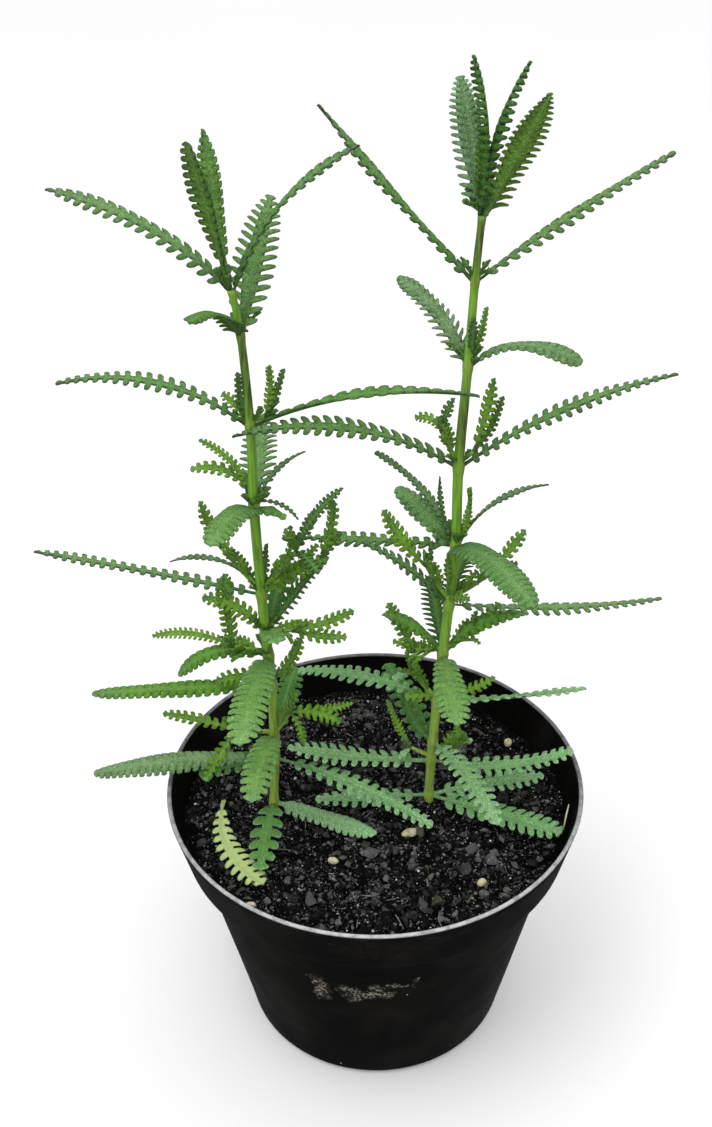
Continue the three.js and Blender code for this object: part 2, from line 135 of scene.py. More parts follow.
RIGHT_STEM = (
    ((16, 4.5, 72.5), [
        (184, 2, 2, 33, 8, 0, "felted"),
        (5, 12, 10, 34, 8, 0, "felted"),
        (333, 3, 0, 41, 10, 0, "lobed"),
    ], []),
    ((16.4, 4.5, 86), [(186, 5, -15, 42, 9, 0, "felted"), (2, -20, -45, 42, 8, 0, "felted")], [
        (180, 30, 6, [(180, 60, -18, 19, 2.6, -50, "young"), (211, -7, 40, 5, 2, 0, "arched")]),
        (0, 29, 8, [(348, 41, 20, 5, 1.8, 0, "arched"), (180, 85, 0, 11, 2.6, -50, "young")]),
    ]),
    ((16.8, 4.5, 93), [
        (295, 20, 40, 38, 7.5, 0, "felted"),
        (115, 15, 0, 30, 9, 0, "shaded"),
        (152, 34, -50, 18, 5.5, -30, "shaded"),
    ], []),
    ((17.7, 4.5, 108), [(155, 12, 32, 44, 7.5, 0, "felted"), (8, -5, -8, 43, 5, -20, "felted")], [
        (193, 0, 0, [(193, 24, 30, 9, 4.1, -50, "fresh")]),
        (180, 53, 11, [(199, 12, 40, 6, 2.6, 0, "arched")]),
        (0, 0, 0, [(0, 5, -35, 17, 3.6, 50, "fresh")]),
    ]),
    ((19, 4.5, 125), [
        (187, 67, 48, 23, 4.8, -20, "scalloped"),
        (355, 68, 68, 28, 4.8, 20, "scalloped"),
        (272, 15, 10, 38, 9, 0, "bright"),
        (95, 25, 20, 28, 8, 0, "dim_comb"),
    ], [
        (180, -8, 7, [(180, 63, -4, 18, 4.6, -50, "fresh"), (160, 30, 30, 7, 2.6, -50, "young")]),
        (0, 35, 8, [
            (0, 47, -12, 13, 4.1, 50, "fresh"), (0, 78, 0, 8, 2.3, 50, "shadow"),
            (324, -27, 0, 4, 1.5, 50, "young"),
        ]),
    ]),
    ((20.3, 4.5, 142), [
        (190, 56, 22, 33, 6.5, -10, "beaded"),
        (0, -6, -14, 57, 5, 0, "swept"),
        (75, 25, 40, 25, 8, 0, "dim_comb"),
    ], [
        (180, 61, 12, [(0, 66, -30, 8, 2.3, 50, "shadow"), (180, 48, -18, 21, 5.1, -50, "fresh")]),
        (256, 0, 0, [(256, 80, 0, 17, 3.8, -50, "fresh"), (315, 44, 40, 8, 3.3, 50, "young")]),
        (0, 37, 13, [(0, 58, 0, 16, 4.1, 50, "fresh"), (20, 20, 20, 8, 2.6, 50, "shadow")]),
    ]),
    ((21.6, 4.5, 161), [
        (295, 30, 45, 40, 9.5, 0, "broad"),
        (160, -8, 2, 45, 7, 0, "long"),
        (0, 72, 66, 31, 1.9, 20, "blade"),
        (174, 74, 42, 35, 3.4, -20, "blade"),
        (140, 35, 15, 22, 6.5, -20, "broad"),
    ], [
        (166, 0, 0, [(166, 61, -34, 19, 1.6, -50, "shadow")]),
        (338, 0, 0, [(338, 62, -38, 17, 3.3, 50, "young")]),
    ]),
    ((21.7, 4.5, 185), [(188, 39, 50, 60, 7.5, -10, "long"), (0, 39, 26, 59, 6.5, 8, "beaded")], [
        (180, 64, 9, [(180, 81, 100, 9, 3.1, -50, "young"), (0, 84, 22, 10, 3.1, 50, "shadow")]),
        (0, 38, 4, [(0, 73, -10, 21, 4.1, 50, "fresh"), (0, 53, -28, 17, 3.2, 50, "shadow")]),
    ]),
    ((23.2, 4.5, 213.5), [(143, 64, 46, 28, 9, 0, "veil"), (334, 52, 78, 31, 7, 0, "grey")], [
        (0, 0, 0, [(0, 66, -20, 14, 2.6, 50, "young"), (274, 74, 0, 13, 2.3, 0, "shadow")]),
    ]),
    ((24.2, 4.5, 236), [(180, 48, -4, 55, 4.7, -14, "thin"), (0, 40, 10, 53, 5.6, 6, "swept")], []),
    ((25.3, 4.5, 252), [
        (131, 78, 6, 31, 9, -20, "comb"),
        (180, 102, 32, 37, 7.5, 0, "profile"),
        (30, 95, 46, 36, 7, -35, "profile"),
        (326, 64, 0, 34, 9, -35, "deep"),
        (89, 81, 0, 20, 4, 0, "bud"),
    ], []),
)
FALLEN_LEAF_ROOT = (-44.6, 3.5, 72.2)
FALLEN_LEAF = (262, 0, 0, 38, 8, 0, "fallen")
FALLEN_LEAF_SWEEP = 58


class Look(NamedTuple):
    """How one kind of leaf looks; the pitch in millimetres, angles in degrees, the rest as shares"""

    # The lobes: the way from one to the next, how much they crowd together towards the tip, and half a
    # lobe's length; then how far the blade reaches between them, how much of that is left at the leaf's
    # foot, and where the foot ends
    pitch: float = 2.9
    crowd: float = 0.15
    lobe: float = 0.33
    notch: float = 0.5
    foot: float = 0.6
    reach: float = 0.45
    # How much a lobe widens outwards, leans towards the tip, hooks back and turns on itself
    flare: float = 0.15
    lean: float = 0.2
    hook: float = 0.0
    twist: float = 0
    # The blade's fold along its rib and its curl under at the margins
    fold: float = 6
    curl: float = 40
    # The outline: the bare stalk, the bluntness of the heel, the widest place, the breadth left at the tip,
    # and where the tip starts to round off
    stalk: float = 0.1
    heel: float = 0.12
    widest: float = 0.48
    taper: float = 0.5
    dome: float = 0.12
    # The colours: the tone from deep green, given to leaves in shade, to grey; how young; how pale the
    # margins are or, below zero, how dark in painted shade; the lobes' painted shade; and how felted the tip
    # is or, below zero, how grey, with painted shade
    tone: float = 0.35
    youth: float = 0.0
    rim: float = 0.6
    core: float = 0.0
    tip: float = 0.1


LOOKS = {
    "felted": Look(
        lobe=0.28, notch=0.45, foot=0.45, flare=0.45, fold=12, curl=38, lean=0.3, tone=0.55, rim=1.0,
        core=0.12, tip=0.8
    ),
    "lobed": Look(
        pitch=3.1, lobe=0.35, notch=0.42, foot=0.35, flare=0.4, fold=12, curl=30, lean=0.45, tone=0.5,
        rim=0.9, core=0.15, tip=0.7
    ),
    "arched": Look(
        pitch=2.3, lobe=0.38, notch=0.74, foot=0.8, fold=-8, curl=60, tone=0.75, rim=1.0, tip=0.9
    ),
    "shaded": Look(lobe=0.3, foot=0.5, flare=0.4, curl=48, tone=0.16, rim=0.5, core=0.2),
    "bright": Look(
        pitch=3.0, lobe=0.34, notch=0.56, foot=0.8, flare=0.3, fold=10, lean=0.15, widest=0.6, taper=0.6,
        tone=0.3, youth=0.5, rim=0.5, tip=0.35
    ),
    "coarse": Look(
        pitch=4.4, crowd=0.3, lobe=0.32, notch=0.36, foot=0.5, flare=0.4, fold=10, curl=30, lean=0.3,
        taper=0.4, tone=0.3, rim=0.9, core=0.3, tip=0.2
    ),
    "broad": Look(
        pitch=2.1, lobe=0.36, notch=0.84, foot=0.9, fold=4, curl=38, stalk=0.03, heel=0.3, tone=0.55,
        youth=0.1, rim=-0.2
    ),
    "grey": Look(
        pitch=2.1, lobe=0.38, notch=0.88, foot=0.45, curl=30, lean=0.3, heel=0.05, widest=0.62,
        taper=0.7, tone=0.85, rim=-0.3, tip=-0.3
    ),
    "sheath": Look(
        pitch=2.0, lobe=0.3, notch=0.9, foot=0.3, reach=0.6, fold=4, curl=30, lean=0.3, stalk=0.03,
        heel=0.3, tone=0.1, youth=0.3, rim=-0.5, core=0.2
    ),
    "veil": Look(
        pitch=1.8, lobe=0.26, notch=0.92, foot=0.2, reach=0.85, flare=0.0, fold=8, curl=30, lean=0.5,
        twist=15, stalk=0.03, heel=0.45, widest=0.35, taper=0.25, dome=0.2, tone=0.85, rim=-0.5, core=0.3
    ),
    "dusty": Look(
        pitch=2.2, lobe=0.37, notch=0.76, foot=0.7, flare=0.3, fold=-4, curl=62, lean=0.3, tone=0.85,
        rim=0.35, core=0.3, tip=-0.3
    ),
    "scalloped": Look(
        pitch=2.3, lobe=0.38, notch=0.76, foot=0.8, flare=0.2, curl=50, lean=0.3, taper=0.3, tone=0.42,
        youth=0.35, rim=-0.4, tip=-0.6
    ),
    "blade": Look(
        pitch=1.8, lobe=0.34, notch=0.55, flare=0.3, fold=10, curl=30, lean=0.5, taper=0.4, tone=0.85,
        rim=-0.8, core=0.3, tip=-0.8
    ),
    "long": Look(
        lobe=0.29, notch=0.36, foot=0.35, flare=0.45, fold=7, curl=14, lean=0.45, stalk=0.05, heel=0.2,
        taper=0.15, tone=0.5, youth=0.1, rim=-1.0, core=0.2, tip=-0.9
    ),
    "beaded": Look(
        pitch=2.7, lobe=0.25, notch=0.34, flare=0.5, curl=14, stalk=0.05, heel=0.25, taper=0.2, tone=0.6,
        rim=-0.9, core=0.3, tip=-0.9
    ),
    "edge": Look(
        pitch=3.4, lobe=0.4, notch=0.62, foot=0.8, flare=0.0, fold=24, curl=10, lean=0.3, stalk=0.05,
        taper=0.2, tone=0.55, rim=-0.7, tip=-0.8
    ),
    "swept": Look(
        pitch=2.7, lobe=0.3, notch=0.42, foot=0.5, flare=0.3, fold=-16, curl=20, lean=0.55, stalk=0.04,
        heel=0.2, taper=0.2, tone=0.7, rim=-0.8, core=0.25, tip=-1.0
    ),
    "thin": Look(
        lobe=0.34, notch=0.56, foot=0.5, flare=0.2, fold=-4, curl=30, lean=0.7, stalk=0.04, heel=0.2,
        taper=0.3, tone=0.55, rim=-0.9, core=0.8, tip=-1.0
    ),
    "comb": Look(
        pitch=1.7, crowd=0.28, notch=0.6, foot=0.35, flare=-0.1, fold=10, curl=30, lean=0.45, hook=0.12,
        twist=20, stalk=0.03, heel=0.35, widest=0.55, taper=0.4, dome=0.3, tone=0.9, youth=0.05,
        rim=-0.9, tip=0.5
    ),
    "fern": Look(
        pitch=2.1, crowd=0.3, lobe=0.34, notch=0.4, foot=0.7, flare=0.0, fold=8, curl=20, lean=0.4,
        hook=0.08, twist=20, stalk=0.03, widest=0.45, taper=0.35, dome=0.3, tone=0.75, youth=0.1,
        rim=-0.8, core=0.3
    ),
    "dim_comb": Look(
        pitch=1.8, lobe=0.27, notch=0.42, flare=-0.1, fold=8, curl=20, lean=0.4, twist=20, stalk=0.03,
        taper=0.35, dome=0.25, tone=0.12, rim=-0.9, core=0.5
    ),
    "profile": Look(
        pitch=1.9, crowd=0.2, lobe=0.32, notch=0.42, flare=0.4, fold=-6, curl=85, lean=0.3, stalk=0.05,
        taper=0.25, tone=0.3, youth=0.15, rim=-1.0, core=0.45
    ),
    "deep": Look(
        pitch=1.7, crowd=0.25, lobe=0.32, notch=0.62, foot=0.35, flare=-0.1, fold=10, curl=50, lean=0.5,
        hook=0.14, twist=20, stalk=0.03, heel=0.35, taper=0.3, dome=0.25, tone=0.3, youth=1.0, rim=-0.8,
        core=0.1
    ),
    "crested": Look(
        pitch=2.2, crowd=0.05, lobe=0.35, notch=0.6, foot=0.8, flare=0.3, fold=-8, curl=50, lean=0.35,
        stalk=0.2, heel=0.05, taper=0.6, tone=0.1, youth=0.7, rim=-1.0, core=0.7
    ),
    "crown": Look(
        pitch=2.0, lobe=0.36, notch=0.66, flare=0.3, fold=12, curl=50, lean=0.3, stalk=0.2, heel=0.05,
        taper=0.4, dome=0.25, tone=0.5, youth=0.35, rim=-0.8, core=0.3
    ),
    "fresh": Look(
        pitch=2.0, lobe=0.31, notch=0.42, flare=0.35, fold=10, lean=0.4, taper=0.45, tone=0.3,
        youth=0.75, rim=-0.4, core=0.12, tip=-0.4
    ),
    "young": Look(
        pitch=1.4, lobe=0.31, notch=0.42, foot=0.7, flare=0.35, fold=14, lean=0.4, taper=0.4, youth=0.95,
        rim=-0.35, core=0.1, tip=-0.4
    ),
    "shadow": Look(
        pitch=1.5, lobe=0.31, notch=0.42, foot=0.7, flare=0.4, fold=12, curl=30, lean=0.3, taper=0.4,
        tone=0.1, youth=0.3, rim=-0.9, core=0.4
    ),
    "bud": Look(
        pitch=1.4, lobe=0.36, notch=0.6, fold=22, curl=30, lean=0.4, taper=0.3, tone=0.2, youth=0.4,
        rim=-0.5, tip=-0.5
    ),
    "fallen": Look(
        pitch=3.0, lobe=0.29, notch=0.36, foot=0.9, flare=0.3, fold=12, curl=30, lean=0.35, heel=0.02,
        widest=0.72, taper=0.6, tone=0.8
    ),
}

# Rows across a lobe, and down the round lobe at the tip; columns across half a leaf, with fewer of both
# where a leaf is narrower than SMALL_LEAF millimetres
LOBE_ROWS = (-1.0, -0.88, -0.5, 0.0, 0.5, 0.88, 1.0)
SMALL_LOBE_ROWS = (-1.0, -0.76, 0.0, 0.76, 1.0)
TIP_STEPS = (0.0, 0.09, 0.15, 0.3, 0.5, 0.68, 0.82, 0.92, 0.98, 1.0)
LOBE_ROUND = 2.4
TIP_START = 0.3
LEAST_LOBES = 3
DOME_DEPTH = 0.88
COLUMNS = (0.0, 0.12, 0.36, 0.62, 0.86, 1.0)
SMALL_COLUMNS = (0.0, 0.26, 0.6, 0.87, 1.0)
SMALL_LEAF = 5.2
STALK_HALF = 0.6 * MM
STALK_BREADTH = 0.09
STALK_ROWS = 4
STALK_FOOT = 1.25
STALK_NARROWING = 0.35
TAPER_BEND = 2.2
LEAST_HALF = 0.03 * MM
RIB_STEPS = 64
BEND_STEPS = 24
MARGIN_REACH = 0.42 * MM
RIB_REACH = 0.42 * MM
RIB_DEPTH = 0.16 * MM
RIB_RELIEF = 0.3 * MM
HUMP_ROUND = 0.6
FULL_QUILT = 8
QUILT_END = 0.92
UNDER_QUILT = 0.8
RIM_THINNING = 0.55
MOST_SPREAD = 1.25
WAVE_HEIGHT = 0.4 * MM
WAVES = 1.6

# How far each leaf strays from its look; where its felt, the painted shade in its creases and the painted
# shade at its foot lie; and how strongly the notches are painted pale, and the lobes and a greying tip
# dark with painted shade
FOLD_STRAY = 3
CURL_STRAY = 0.12
TONE_STRAY = 0.08
YOUTH_STRAY = 0.1
FELTED = 0.42
CREASE_START = 0.12
CREASE_FADE = 0.35
FOOT_SHADE = 0.55
FOOT_REACH = 0.4
PALE_NOTCHES = 0.3
DARK_LOBES = 0.7
TIP_SHADE = 0.5

# Repeatable draws
SEED = 11
DRAW_MASK = 0xFFFFFFFF

# Side shoots: their stalks and the pairs of small leaves along them, then where leaves, shoots and buds set
# out at a stem, and the angles at which the small pairs stand
SHOOT_SIDE = 1.1 * MM
STALK_SAG = 0.3 * MM
STALK_TAPER = (0.62, 0.42)
STALK_SIDES = 8
STALK_SQUARENESS = 2.4
# A stalk's painted highlight on its ridges, and its brown
STALK_MASK = (0.1, 0.3)
STALK_PAIRS = (0.3, 0.65)
BARE_STALK = 6
ROOT_REACH = 0.6 * MM
AXIL_RISE = 2 * MM
BUD_LIFT = 1.2 * MM
BUDS_ABOVE = 0.3
BEARING_STRAY = 10
STEEPEST_BUD = 80
STALK_BUD_RISE = 20
STALK_PAIR_RISE = 15
AXIL_BUD_RISE = 52


class Pair(NamedTuple):
    """Two small leaves, one on each side of a bearing; lengths in millimetres, angles in degrees"""

    kind: str
    # How far each turns aside, its droop, how much its rise strays, and its roll as a share of the turn
    turn: float
    droop: float
    rise_stray: float = 0
    roll: float = 0
    # Its length, how much that strays, its width, and the share of the length that the width gains
    length: float = 5
    length_stray: float = 1
    width: float = 0
    width_share: float = 0


STALK_BUDS = Pair("bud", turn=30, droop=-10, length=4.5, width=1.6)
STALK_LEAVES = Pair("young", turn=40, droop=30, rise_stray=10, roll=1, length=8, length_stray=2, width=2.8)
AXIL_BUDS = Pair("bud", turn=38, droop=10, rise_stray=12, length=5.5, length_stray=1.5, width_share=0.3)

# Stems
STEM_SIDES = ((0, 2.5), (0.3, 2.7), (0.65, 2.6), (0.85, 2.1), (1, 1.7))
STEM_SUNK = 8 * MM
STEM_STEP = 1.2 * MM
STEM_CORNERS = 16
STEM_SQUARENESS = 3.4
NODE_SWELL = 0.24
NODE_REACH = 1.6 * MM
BROWN_STRETCHES = {"left": ((214, 9),), "right": ((197, 7), (246, 7))}
# The turn that the stem's shaded side faces; that side takes painted shade in the stem's brown
SHADY_TURN = math.radians(-20)

# Pale stones in the soil: x, y, length, breadth and turn
STONES = (
    (9.9, -9.8, 4.8, 2.6, 15),
    (-12.2, -20.6, 3, 2, -20),
    (29.2, -29.7, 2.8, 2.2, 40),
    (41.7, 29, 3, 2.4, 70),
    (-34.9, -37.2, 3.2, 2, 10),
)
STONE_LIFT = 0.5 * MM
STONE_DENTS = 1.3
STONE_DENT = 0.12
STONE_BUMPS = 5
STONE_BUMP = 0.03


# Settings


def amount(name, description, default, **limits):
    """A number that a user may change."""
    return bpy.props.FloatProperty(name=name, description=description, default=default, **limits)


def size(name, description, default):
    """A length that a user may change."""
    return amount(name, description, default, min=0, precision=5, unit="LENGTH")


def colour(name, description, default):
    """A colour that a user may change."""
    return bpy.props.FloatVectorProperty(
        name=name, description=description, default=default, size=3, min=0, max=1, subtype="COLOR"
    )


class PotSettings(bpy.types.PropertyGroup):
    """Sizes and colours of the pot"""

    wall: size("Wall", "Thickness of the pot's wall", 1.3 * MM)
    floor: size("Floor", "Thickness of the pot's base", 1.6 * MM)
    base_radius: size("Base radius", "Outer radius of the tapered body at the base", 39.3 * MM)
    base_round: size("Base round", "Radius of the rounded corner at the base", 3.5 * MM)
    body_top_radius: size("Body top radius", "Outer radius of the body under the band", 53 * MM)
    band_foot_radius: size("Band foot radius", "Outer radius of the band at its foot", 56.5 * MM)
    band_height: size("Band height", "Height of the band round the rim", 16 * MM)
    drain_radius: size("Drain radius", "Radius of each drain hole", 4 * MM)
    drain_circle: size("Drain circle", "Radius of the circle of drain holes", 25 * MM)
    plastic: colour("Plastic", "Matte black plastic", (0.0026, 0.0023, 0.0019))
    scuff: colour("Scuffs", "Worn grey plastic along the rim", (0.5, 0.51, 0.52))
    dirt: colour("Dirt", "Dried pale mud on the wall", (0.5, 0.45, 0.38))


class SoilSettings(bpy.types.PropertyGroup):
    """Sizes and colours of the potting mix"""

    level: size("Level", "Height of the soil above the pot's underside", 70.5 * MM)
    relief: size("Relief", "Height of the larger clumps", 1.3 * MM)
    clump: size("Clump", "Breadth of the larger clumps", 3.4 * MM)
    # Also the painted shade in the soil's creases
    black: colour("Black", "The darkest crumbs", (0.0022, 0.0022, 0.0023))
    brown: colour("Brown", "The lighter bark crumbs", (0.013, 0.012, 0.0108))
    # Grey dust, and also painted glints where it peppers the soil and chips
    ash_and_glint: colour("Ash", "Grey charcoal and mineral dust", (0.24, 0.25, 0.245))
    # White grains, and also painted glints where it peppers the soil and chips
    grain: colour("Grains", "White mineral grains", (0.75, 0.74, 0.7))
    stone: colour("Stones", "Pale cream stones", (0.62, 0.57, 0.36))


class FoliageSettings(bpy.types.PropertyGroup):
    """Sizes and colours of the lavender"""

    thickness: size("Thickness", "Thickness of a leaf at its middle", 0.5 * MM)
    quilt: size("Quilting", "Height of the humps between the side veins", 0.3 * MM)
    deep: colour("Deep green", "Leaves in their own shade", (0.03, 0.1, 0.004))
    mature: colour("Mature green", "Grown leaves", (0.1, 0.345, 0.035))
    pale: colour("Pale green", "The palest grown leaves", (0.22, 0.42, 0.14))
    young: colour("Young green", "Leaves of the young shoots", (0.32, 0.61, 0.03))
    shade: colour("Shaded green", "The darkest curled teeth", (0.022, 0.055, 0.018))
    grey: colour("Dusty green", "The greyest long leaves", (0.3, 0.43, 0.25))
    edge: colour("Pale edge", "Felted margins of the lower leaves", (0.37, 0.68, 0.38))
    felt: colour("Felt", "Short white hairs, thickest at the tips", (0.43, 0.74, 0.4))
    underside: colour("Underside", "The leaves' felted undersides", (0.15, 0.3, 0.07))
    stem_low: colour("Lower stem", "The older, browner stretch of the stem", (0.3, 0.4, 0.05))
    stem_high: colour("Upper stem", "The young green stretch of the stem", (0.17, 0.42, 0.006))
    # Besides the brown tinge, this lays the painted shade on the stem's shaded side
    stem_brown_and_shade: colour("Brown stem", "Brown tinge on the stem", (0.055, 0.065, 0.016))
    dry: colour("Dry leaf", "The fallen yellow leaf", (0.45, 0.58, 0.22))
    # Also the painted shade in the fallen leaf's creases
    dry_rib: colour("Dry rib", "The fallen leaf's brown rib", (0.23, 0.13, 0.03))


class StageSettings(bpy.types.PropertyGroup):
    """Camera, floor and lights"""

    camera: bpy.props.FloatVectorProperty(
        name="Camera",
        description="Where the camera stands",
        default=(-4.7 * MM, -330.4 * MM, 384.0 * MM),
        size=3,
        subtype="TRANSLATION",
        unit="LENGTH",
    )
    tilt: amount("Tilt", "How far the camera looks down", math.radians(34.3), subtype="ANGLE")
    roll: amount("Roll", "How far the camera leans sideways", math.radians(-0.7), subtype="ANGLE")
    lens: amount("Lens", "Focal length", 48.8, min=10, unit="CAMERA")
    floor: colour("Floor", "Plain pale floor", (0.86, 0.86, 0.86))
    sky: amount("Sky", "Brightness of the soft light from above", 1.22, min=0)
    low_sky: amount("Low sky", "Brightness of the soft light from below", 0.25, min=0)
    key: amount("Key light", "Power of the large lamp", 2.5, min=0, unit="POWER")
    fill: amount("Fill light", "Power of the lamp in front", 4.0, min=0, unit="POWER")


# Nodes of a procedural material


def add_node(tree, kind, sockets=None, **settings):
    """A shader node with its settings, and its sockets set or linked by name or number."""
    made = tree.nodes.new(kind)
    for name, value in settings.items():
        setattr(made, name, value)
    for name, value in (sockets or {}).items():
        if isinstance(value, bpy.types.NodeSocket):
            tree.links.new(value, made.inputs[name])
        else:
            made.inputs[name].default_value = value
    return made


def full(shade):
    """A colour with its alpha."""
    return (*shade, 1.0)


def blend(tree, factor, first, second, mode="MIX"):
    """The second colour over the first, by the factor."""
    sockets = {0: factor}
    for number, value in ((6, first), (7, second)):
        sockets[number] = value if isinstance(value, bpy.types.NodeSocket) else full(value)
    made = add_node(tree, "ShaderNodeMix", sockets, data_type="RGBA", blend_type=mode)
    return made.outputs[2]


def sums(tree, operation, first, second):
    """What an operation such as MULTIPLY makes of two values."""
    made = add_node(tree, "ShaderNodeMath", {0: first, 1: second}, operation=operation)
    return made.outputs[0]


def vectors(tree, operation, *values):
    """What an operation such as SUBTRACT makes of vectors."""
    made = add_node(tree, "ShaderNodeVectorMath", dict(enumerate(values)), operation=operation)
    return made.outputs[0]


def times(tree, first, second):
    """Two values multiplied."""
    return sums(tree, "MULTIPLY", first, second)


def spread(tree, value, low, high, bottom=0.0, top=1.0):
    """The value between low and high, spread smoothly from bottom to top."""
    sockets = {"Value": value, "From Min": low, "From Max": high, "To Min": bottom, "To Max": top}
    made = add_node(tree, "ShaderNodeMapRange", sockets, interpolation_type="SMOOTHSTEP")
    return made.outputs[0]


def grain(tree, place, scale, detail=2.0, roughness=0.55):
    """Noise of that many waves a metre."""
    sockets = {"Vector": place, "Scale": scale, "Detail": detail, "Roughness": roughness}
    return add_node(tree, "ShaderNodeTexNoise", sockets).outputs[0]


def cells(tree, place, scale, feature="F1", output="Distance"):
    """Cells of that many a metre."""
    made = add_node(tree, "ShaderNodeTexVoronoi", {"Vector": place, "Scale": scale}, feature=feature)
    return made.outputs[output]


def flecks(tree, place, scale, breadth, rarity):
    """Round flecks, one to a cell, and which of the cells have one."""
    fleck = spread(tree, cells(tree, place, scale), *breadth)
    return fleck, spread(tree, cells(tree, place, scale, output="Color"), *rarity)


def stretched(tree, place, scale):
    """The coordinates scaled along each axis, so that what they carry stretches where the scale is low."""
    return add_node(tree, "ShaderNodeMapping", {"Vector": place, "Scale": scale}).outputs[0]


def masks(tree, name):
    """The three masks and the alpha of a painted attribute."""
    paint = add_node(tree, "ShaderNodeAttribute", attribute_name=name)
    parts = add_node(tree, "ShaderNodeSeparateColor", {0: paint.outputs["Color"]})
    return (*parts.outputs[:3], paint.outputs["Alpha"])


def material(name, roughness, gloss=0.5, **uniform):
    """A new material, its node tree, its shader with its uniform values, and the piece's coordinates."""
    made = bpy.data.materials.new(name)
    made.use_nodes = True
    tree = made.node_tree
    shader = next(item for item in tree.nodes if item.type == "BSDF_PRINCIPLED")
    shader.inputs["Roughness"].default_value = roughness
    shader.inputs["Specular IOR Level"].default_value = gloss
    for socket, value in uniform.items():
        shader.inputs[socket.replace("_", " ").title()].default_value = value
    place = add_node(tree, "ShaderNodeTexCoord").outputs["Object"]
    return made, tree, shader, place


def finish_material(tree, shader, base, height, depth, strength=1.0, roughness=None):
    """Links the colour, the bump of the given depth and any roughness to the shader."""
    tree.links.new(base, shader.inputs["Base Color"])
    sockets = {"Height": height, "Distance": depth, "Strength": strength}
    bump = add_node(tree, "ShaderNodeBump", sockets)
    tree.links.new(bump.outputs[0], shader.inputs["Normal"])
    if roughness is not None:
        tree.links.new(roughness, shader.inputs["Roughness"])


def leaf_material(settings):
    """Softly felted leaf, yellower young: pale margins, dark ones and creases in painted shade, pale rib."""
    made, tree, shader, place = material(
        "felted_leaf", 0.65, 0.14, sheen_weight=0.015, subsurface_weight=0.06,
        subsurface_radius=(0.4, 1.0, 0.15), subsurface_scale=1.2 * MM,
    )
    margin, crease_shade, youth, under = masks(tree, "leaf_mask")
    rib, tone, tip, dark = masks(tree, "leaf_lines")
    body = blend(tree, spread(tree, tone, 0, 0.4), settings.deep, settings.mature)
    body = blend(tree, spread(tree, tone, 0.4, 0.7), body, settings.pale)
    body = blend(tree, spread(tree, tone, 0.7, 1), body, settings.grey)
    body = blend(tree, youth, body, settings.young)
    body = blend(tree, times(tree, under, 0.3), body, settings.underside)
    speckle = spread(tree, grain(tree, place, 2300, 3, 0.6), 0.36, 0.66)
    patchy = spread(tree, grain(tree, place, 300, 3), 0.3, 0.7)
    shadow = sums(tree, "ADD", times(tree, speckle, 0.5), times(tree, patchy, 0.35))
    body = blend(tree, sums(tree, "SUBTRACT", 0.74, shadow), body, settings.deep)
    # Painted shade in the creases between the humps
    body = blend(tree, times(tree, crease_shade, 0.85), body, settings.deep)
    body = blend(tree, times(tree, rib, 0.4), body, settings.pale)
    # Painted shade in the shaded green, where the dark mask lies
    body = blend(tree, times(tree, dark, 0.85), body, settings.shade)
    edge = times(tree, margin, spread(tree, speckle, 0, 1, 0.6, 1.0))
    body = blend(tree, edge, body, settings.edge)
    felt = times(tree, tip, spread(tree, speckle, 0, 1, 0.5, 1.3))
    felt = sums(tree, "ADD", felt, times(tree, speckle, spread(tree, tone, 0.2, 0.8, 0.03, 0.14)))
    body = blend(tree, felt, body, settings.felt)
    wrinkle = cells(tree, place, 1100, "SMOOTH_F1")
    height = sums(tree, "ADD", wrinkle, times(tree, speckle, 0.6))
    finish_material(tree, shader, body, height, 0.4 * MM, 1.0)
    return made


def stem_material(settings):
    """Square stem: ridged, olive low down and green above, with short hairs."""
    made, tree, shader, place = material(
        "ridged_stem", 0.5, sheen_weight=0.1, subsurface_weight=0.08,
        subsurface_radius=(0.6, 1.0, 0.15), subsurface_scale=1.2 * MM,
    )
    ridge_highlight, height, knot, brown_and_shade = masks(tree, "stem_mask")
    body = blend(tree, spread(tree, height, 0.05, 0.55), settings.stem_low, settings.stem_high)
    streak = spread(tree, grain(tree, stretched(tree, place, (1, 1, 0.08)), 1500, 3), 0.35, 0.65)
    body = blend(tree, spread(tree, streak, 0.4, 0, 0, 0.35), body, settings.deep)
    body = blend(tree, times(tree, streak, 0.35), body, settings.young)
    # Painted highlight: the ridges painted paler
    body = blend(tree, times(tree, ridge_highlight, 0.4), body, settings.pale)
    body = blend(tree, times(tree, knot, 0.5), body, settings.stem_low)
    # Brown stretches and the painted shade on the stem's shaded side, both laid on in brown
    browned_and_shaded = times(tree, brown_and_shade, spread(tree, streak, 0, 1, 1.0, 0.6))
    body = blend(tree, browned_and_shaded, body, settings.stem_brown_and_shade)
    hairs = grain(tree, place, 2600, 2)
    finish_material(tree, shader, body, sums(tree, "ADD", streak, hairs), 0.12 * MM, 0.5)
    return made


def dry_leaf_material(settings):
    """Withered leaf: pale yellow with a brown rib, darker blotches and painted shade in the creases."""
    made, tree, shader, place = material(
        "dry_leaf", 0.7, subsurface_weight=0.1, subsurface_scale=1.0 * MM
    )
    margin, crease_shade, _, _ = masks(tree, "leaf_mask")
    rib, _, tip, _ = masks(tree, "leaf_lines")
    blotch = spread(tree, grain(tree, place, 240, 4), 0.5, 0.75)
    body = blend(tree, times(tree, blotch, 0.3), settings.dry, settings.dry_rib)
    base = spread(tree, tip, 0.0, 0.004, 0.8, 0.12)
    body = blend(tree, times(tree, rib, base), body, settings.dry_rib)
    # Painted shade in the creases, in the rib's brown
    body = blend(tree, times(tree, crease_shade, 0.3), body, settings.dry_rib)
    body = blend(tree, times(tree, margin, 0.2), body, settings.felt)
    wrinkle = cells(tree, place, 900, "SMOOTH_F1")
    finish_material(tree, shader, body, wrinkle, 0.2 * MM, 0.6)
    return made


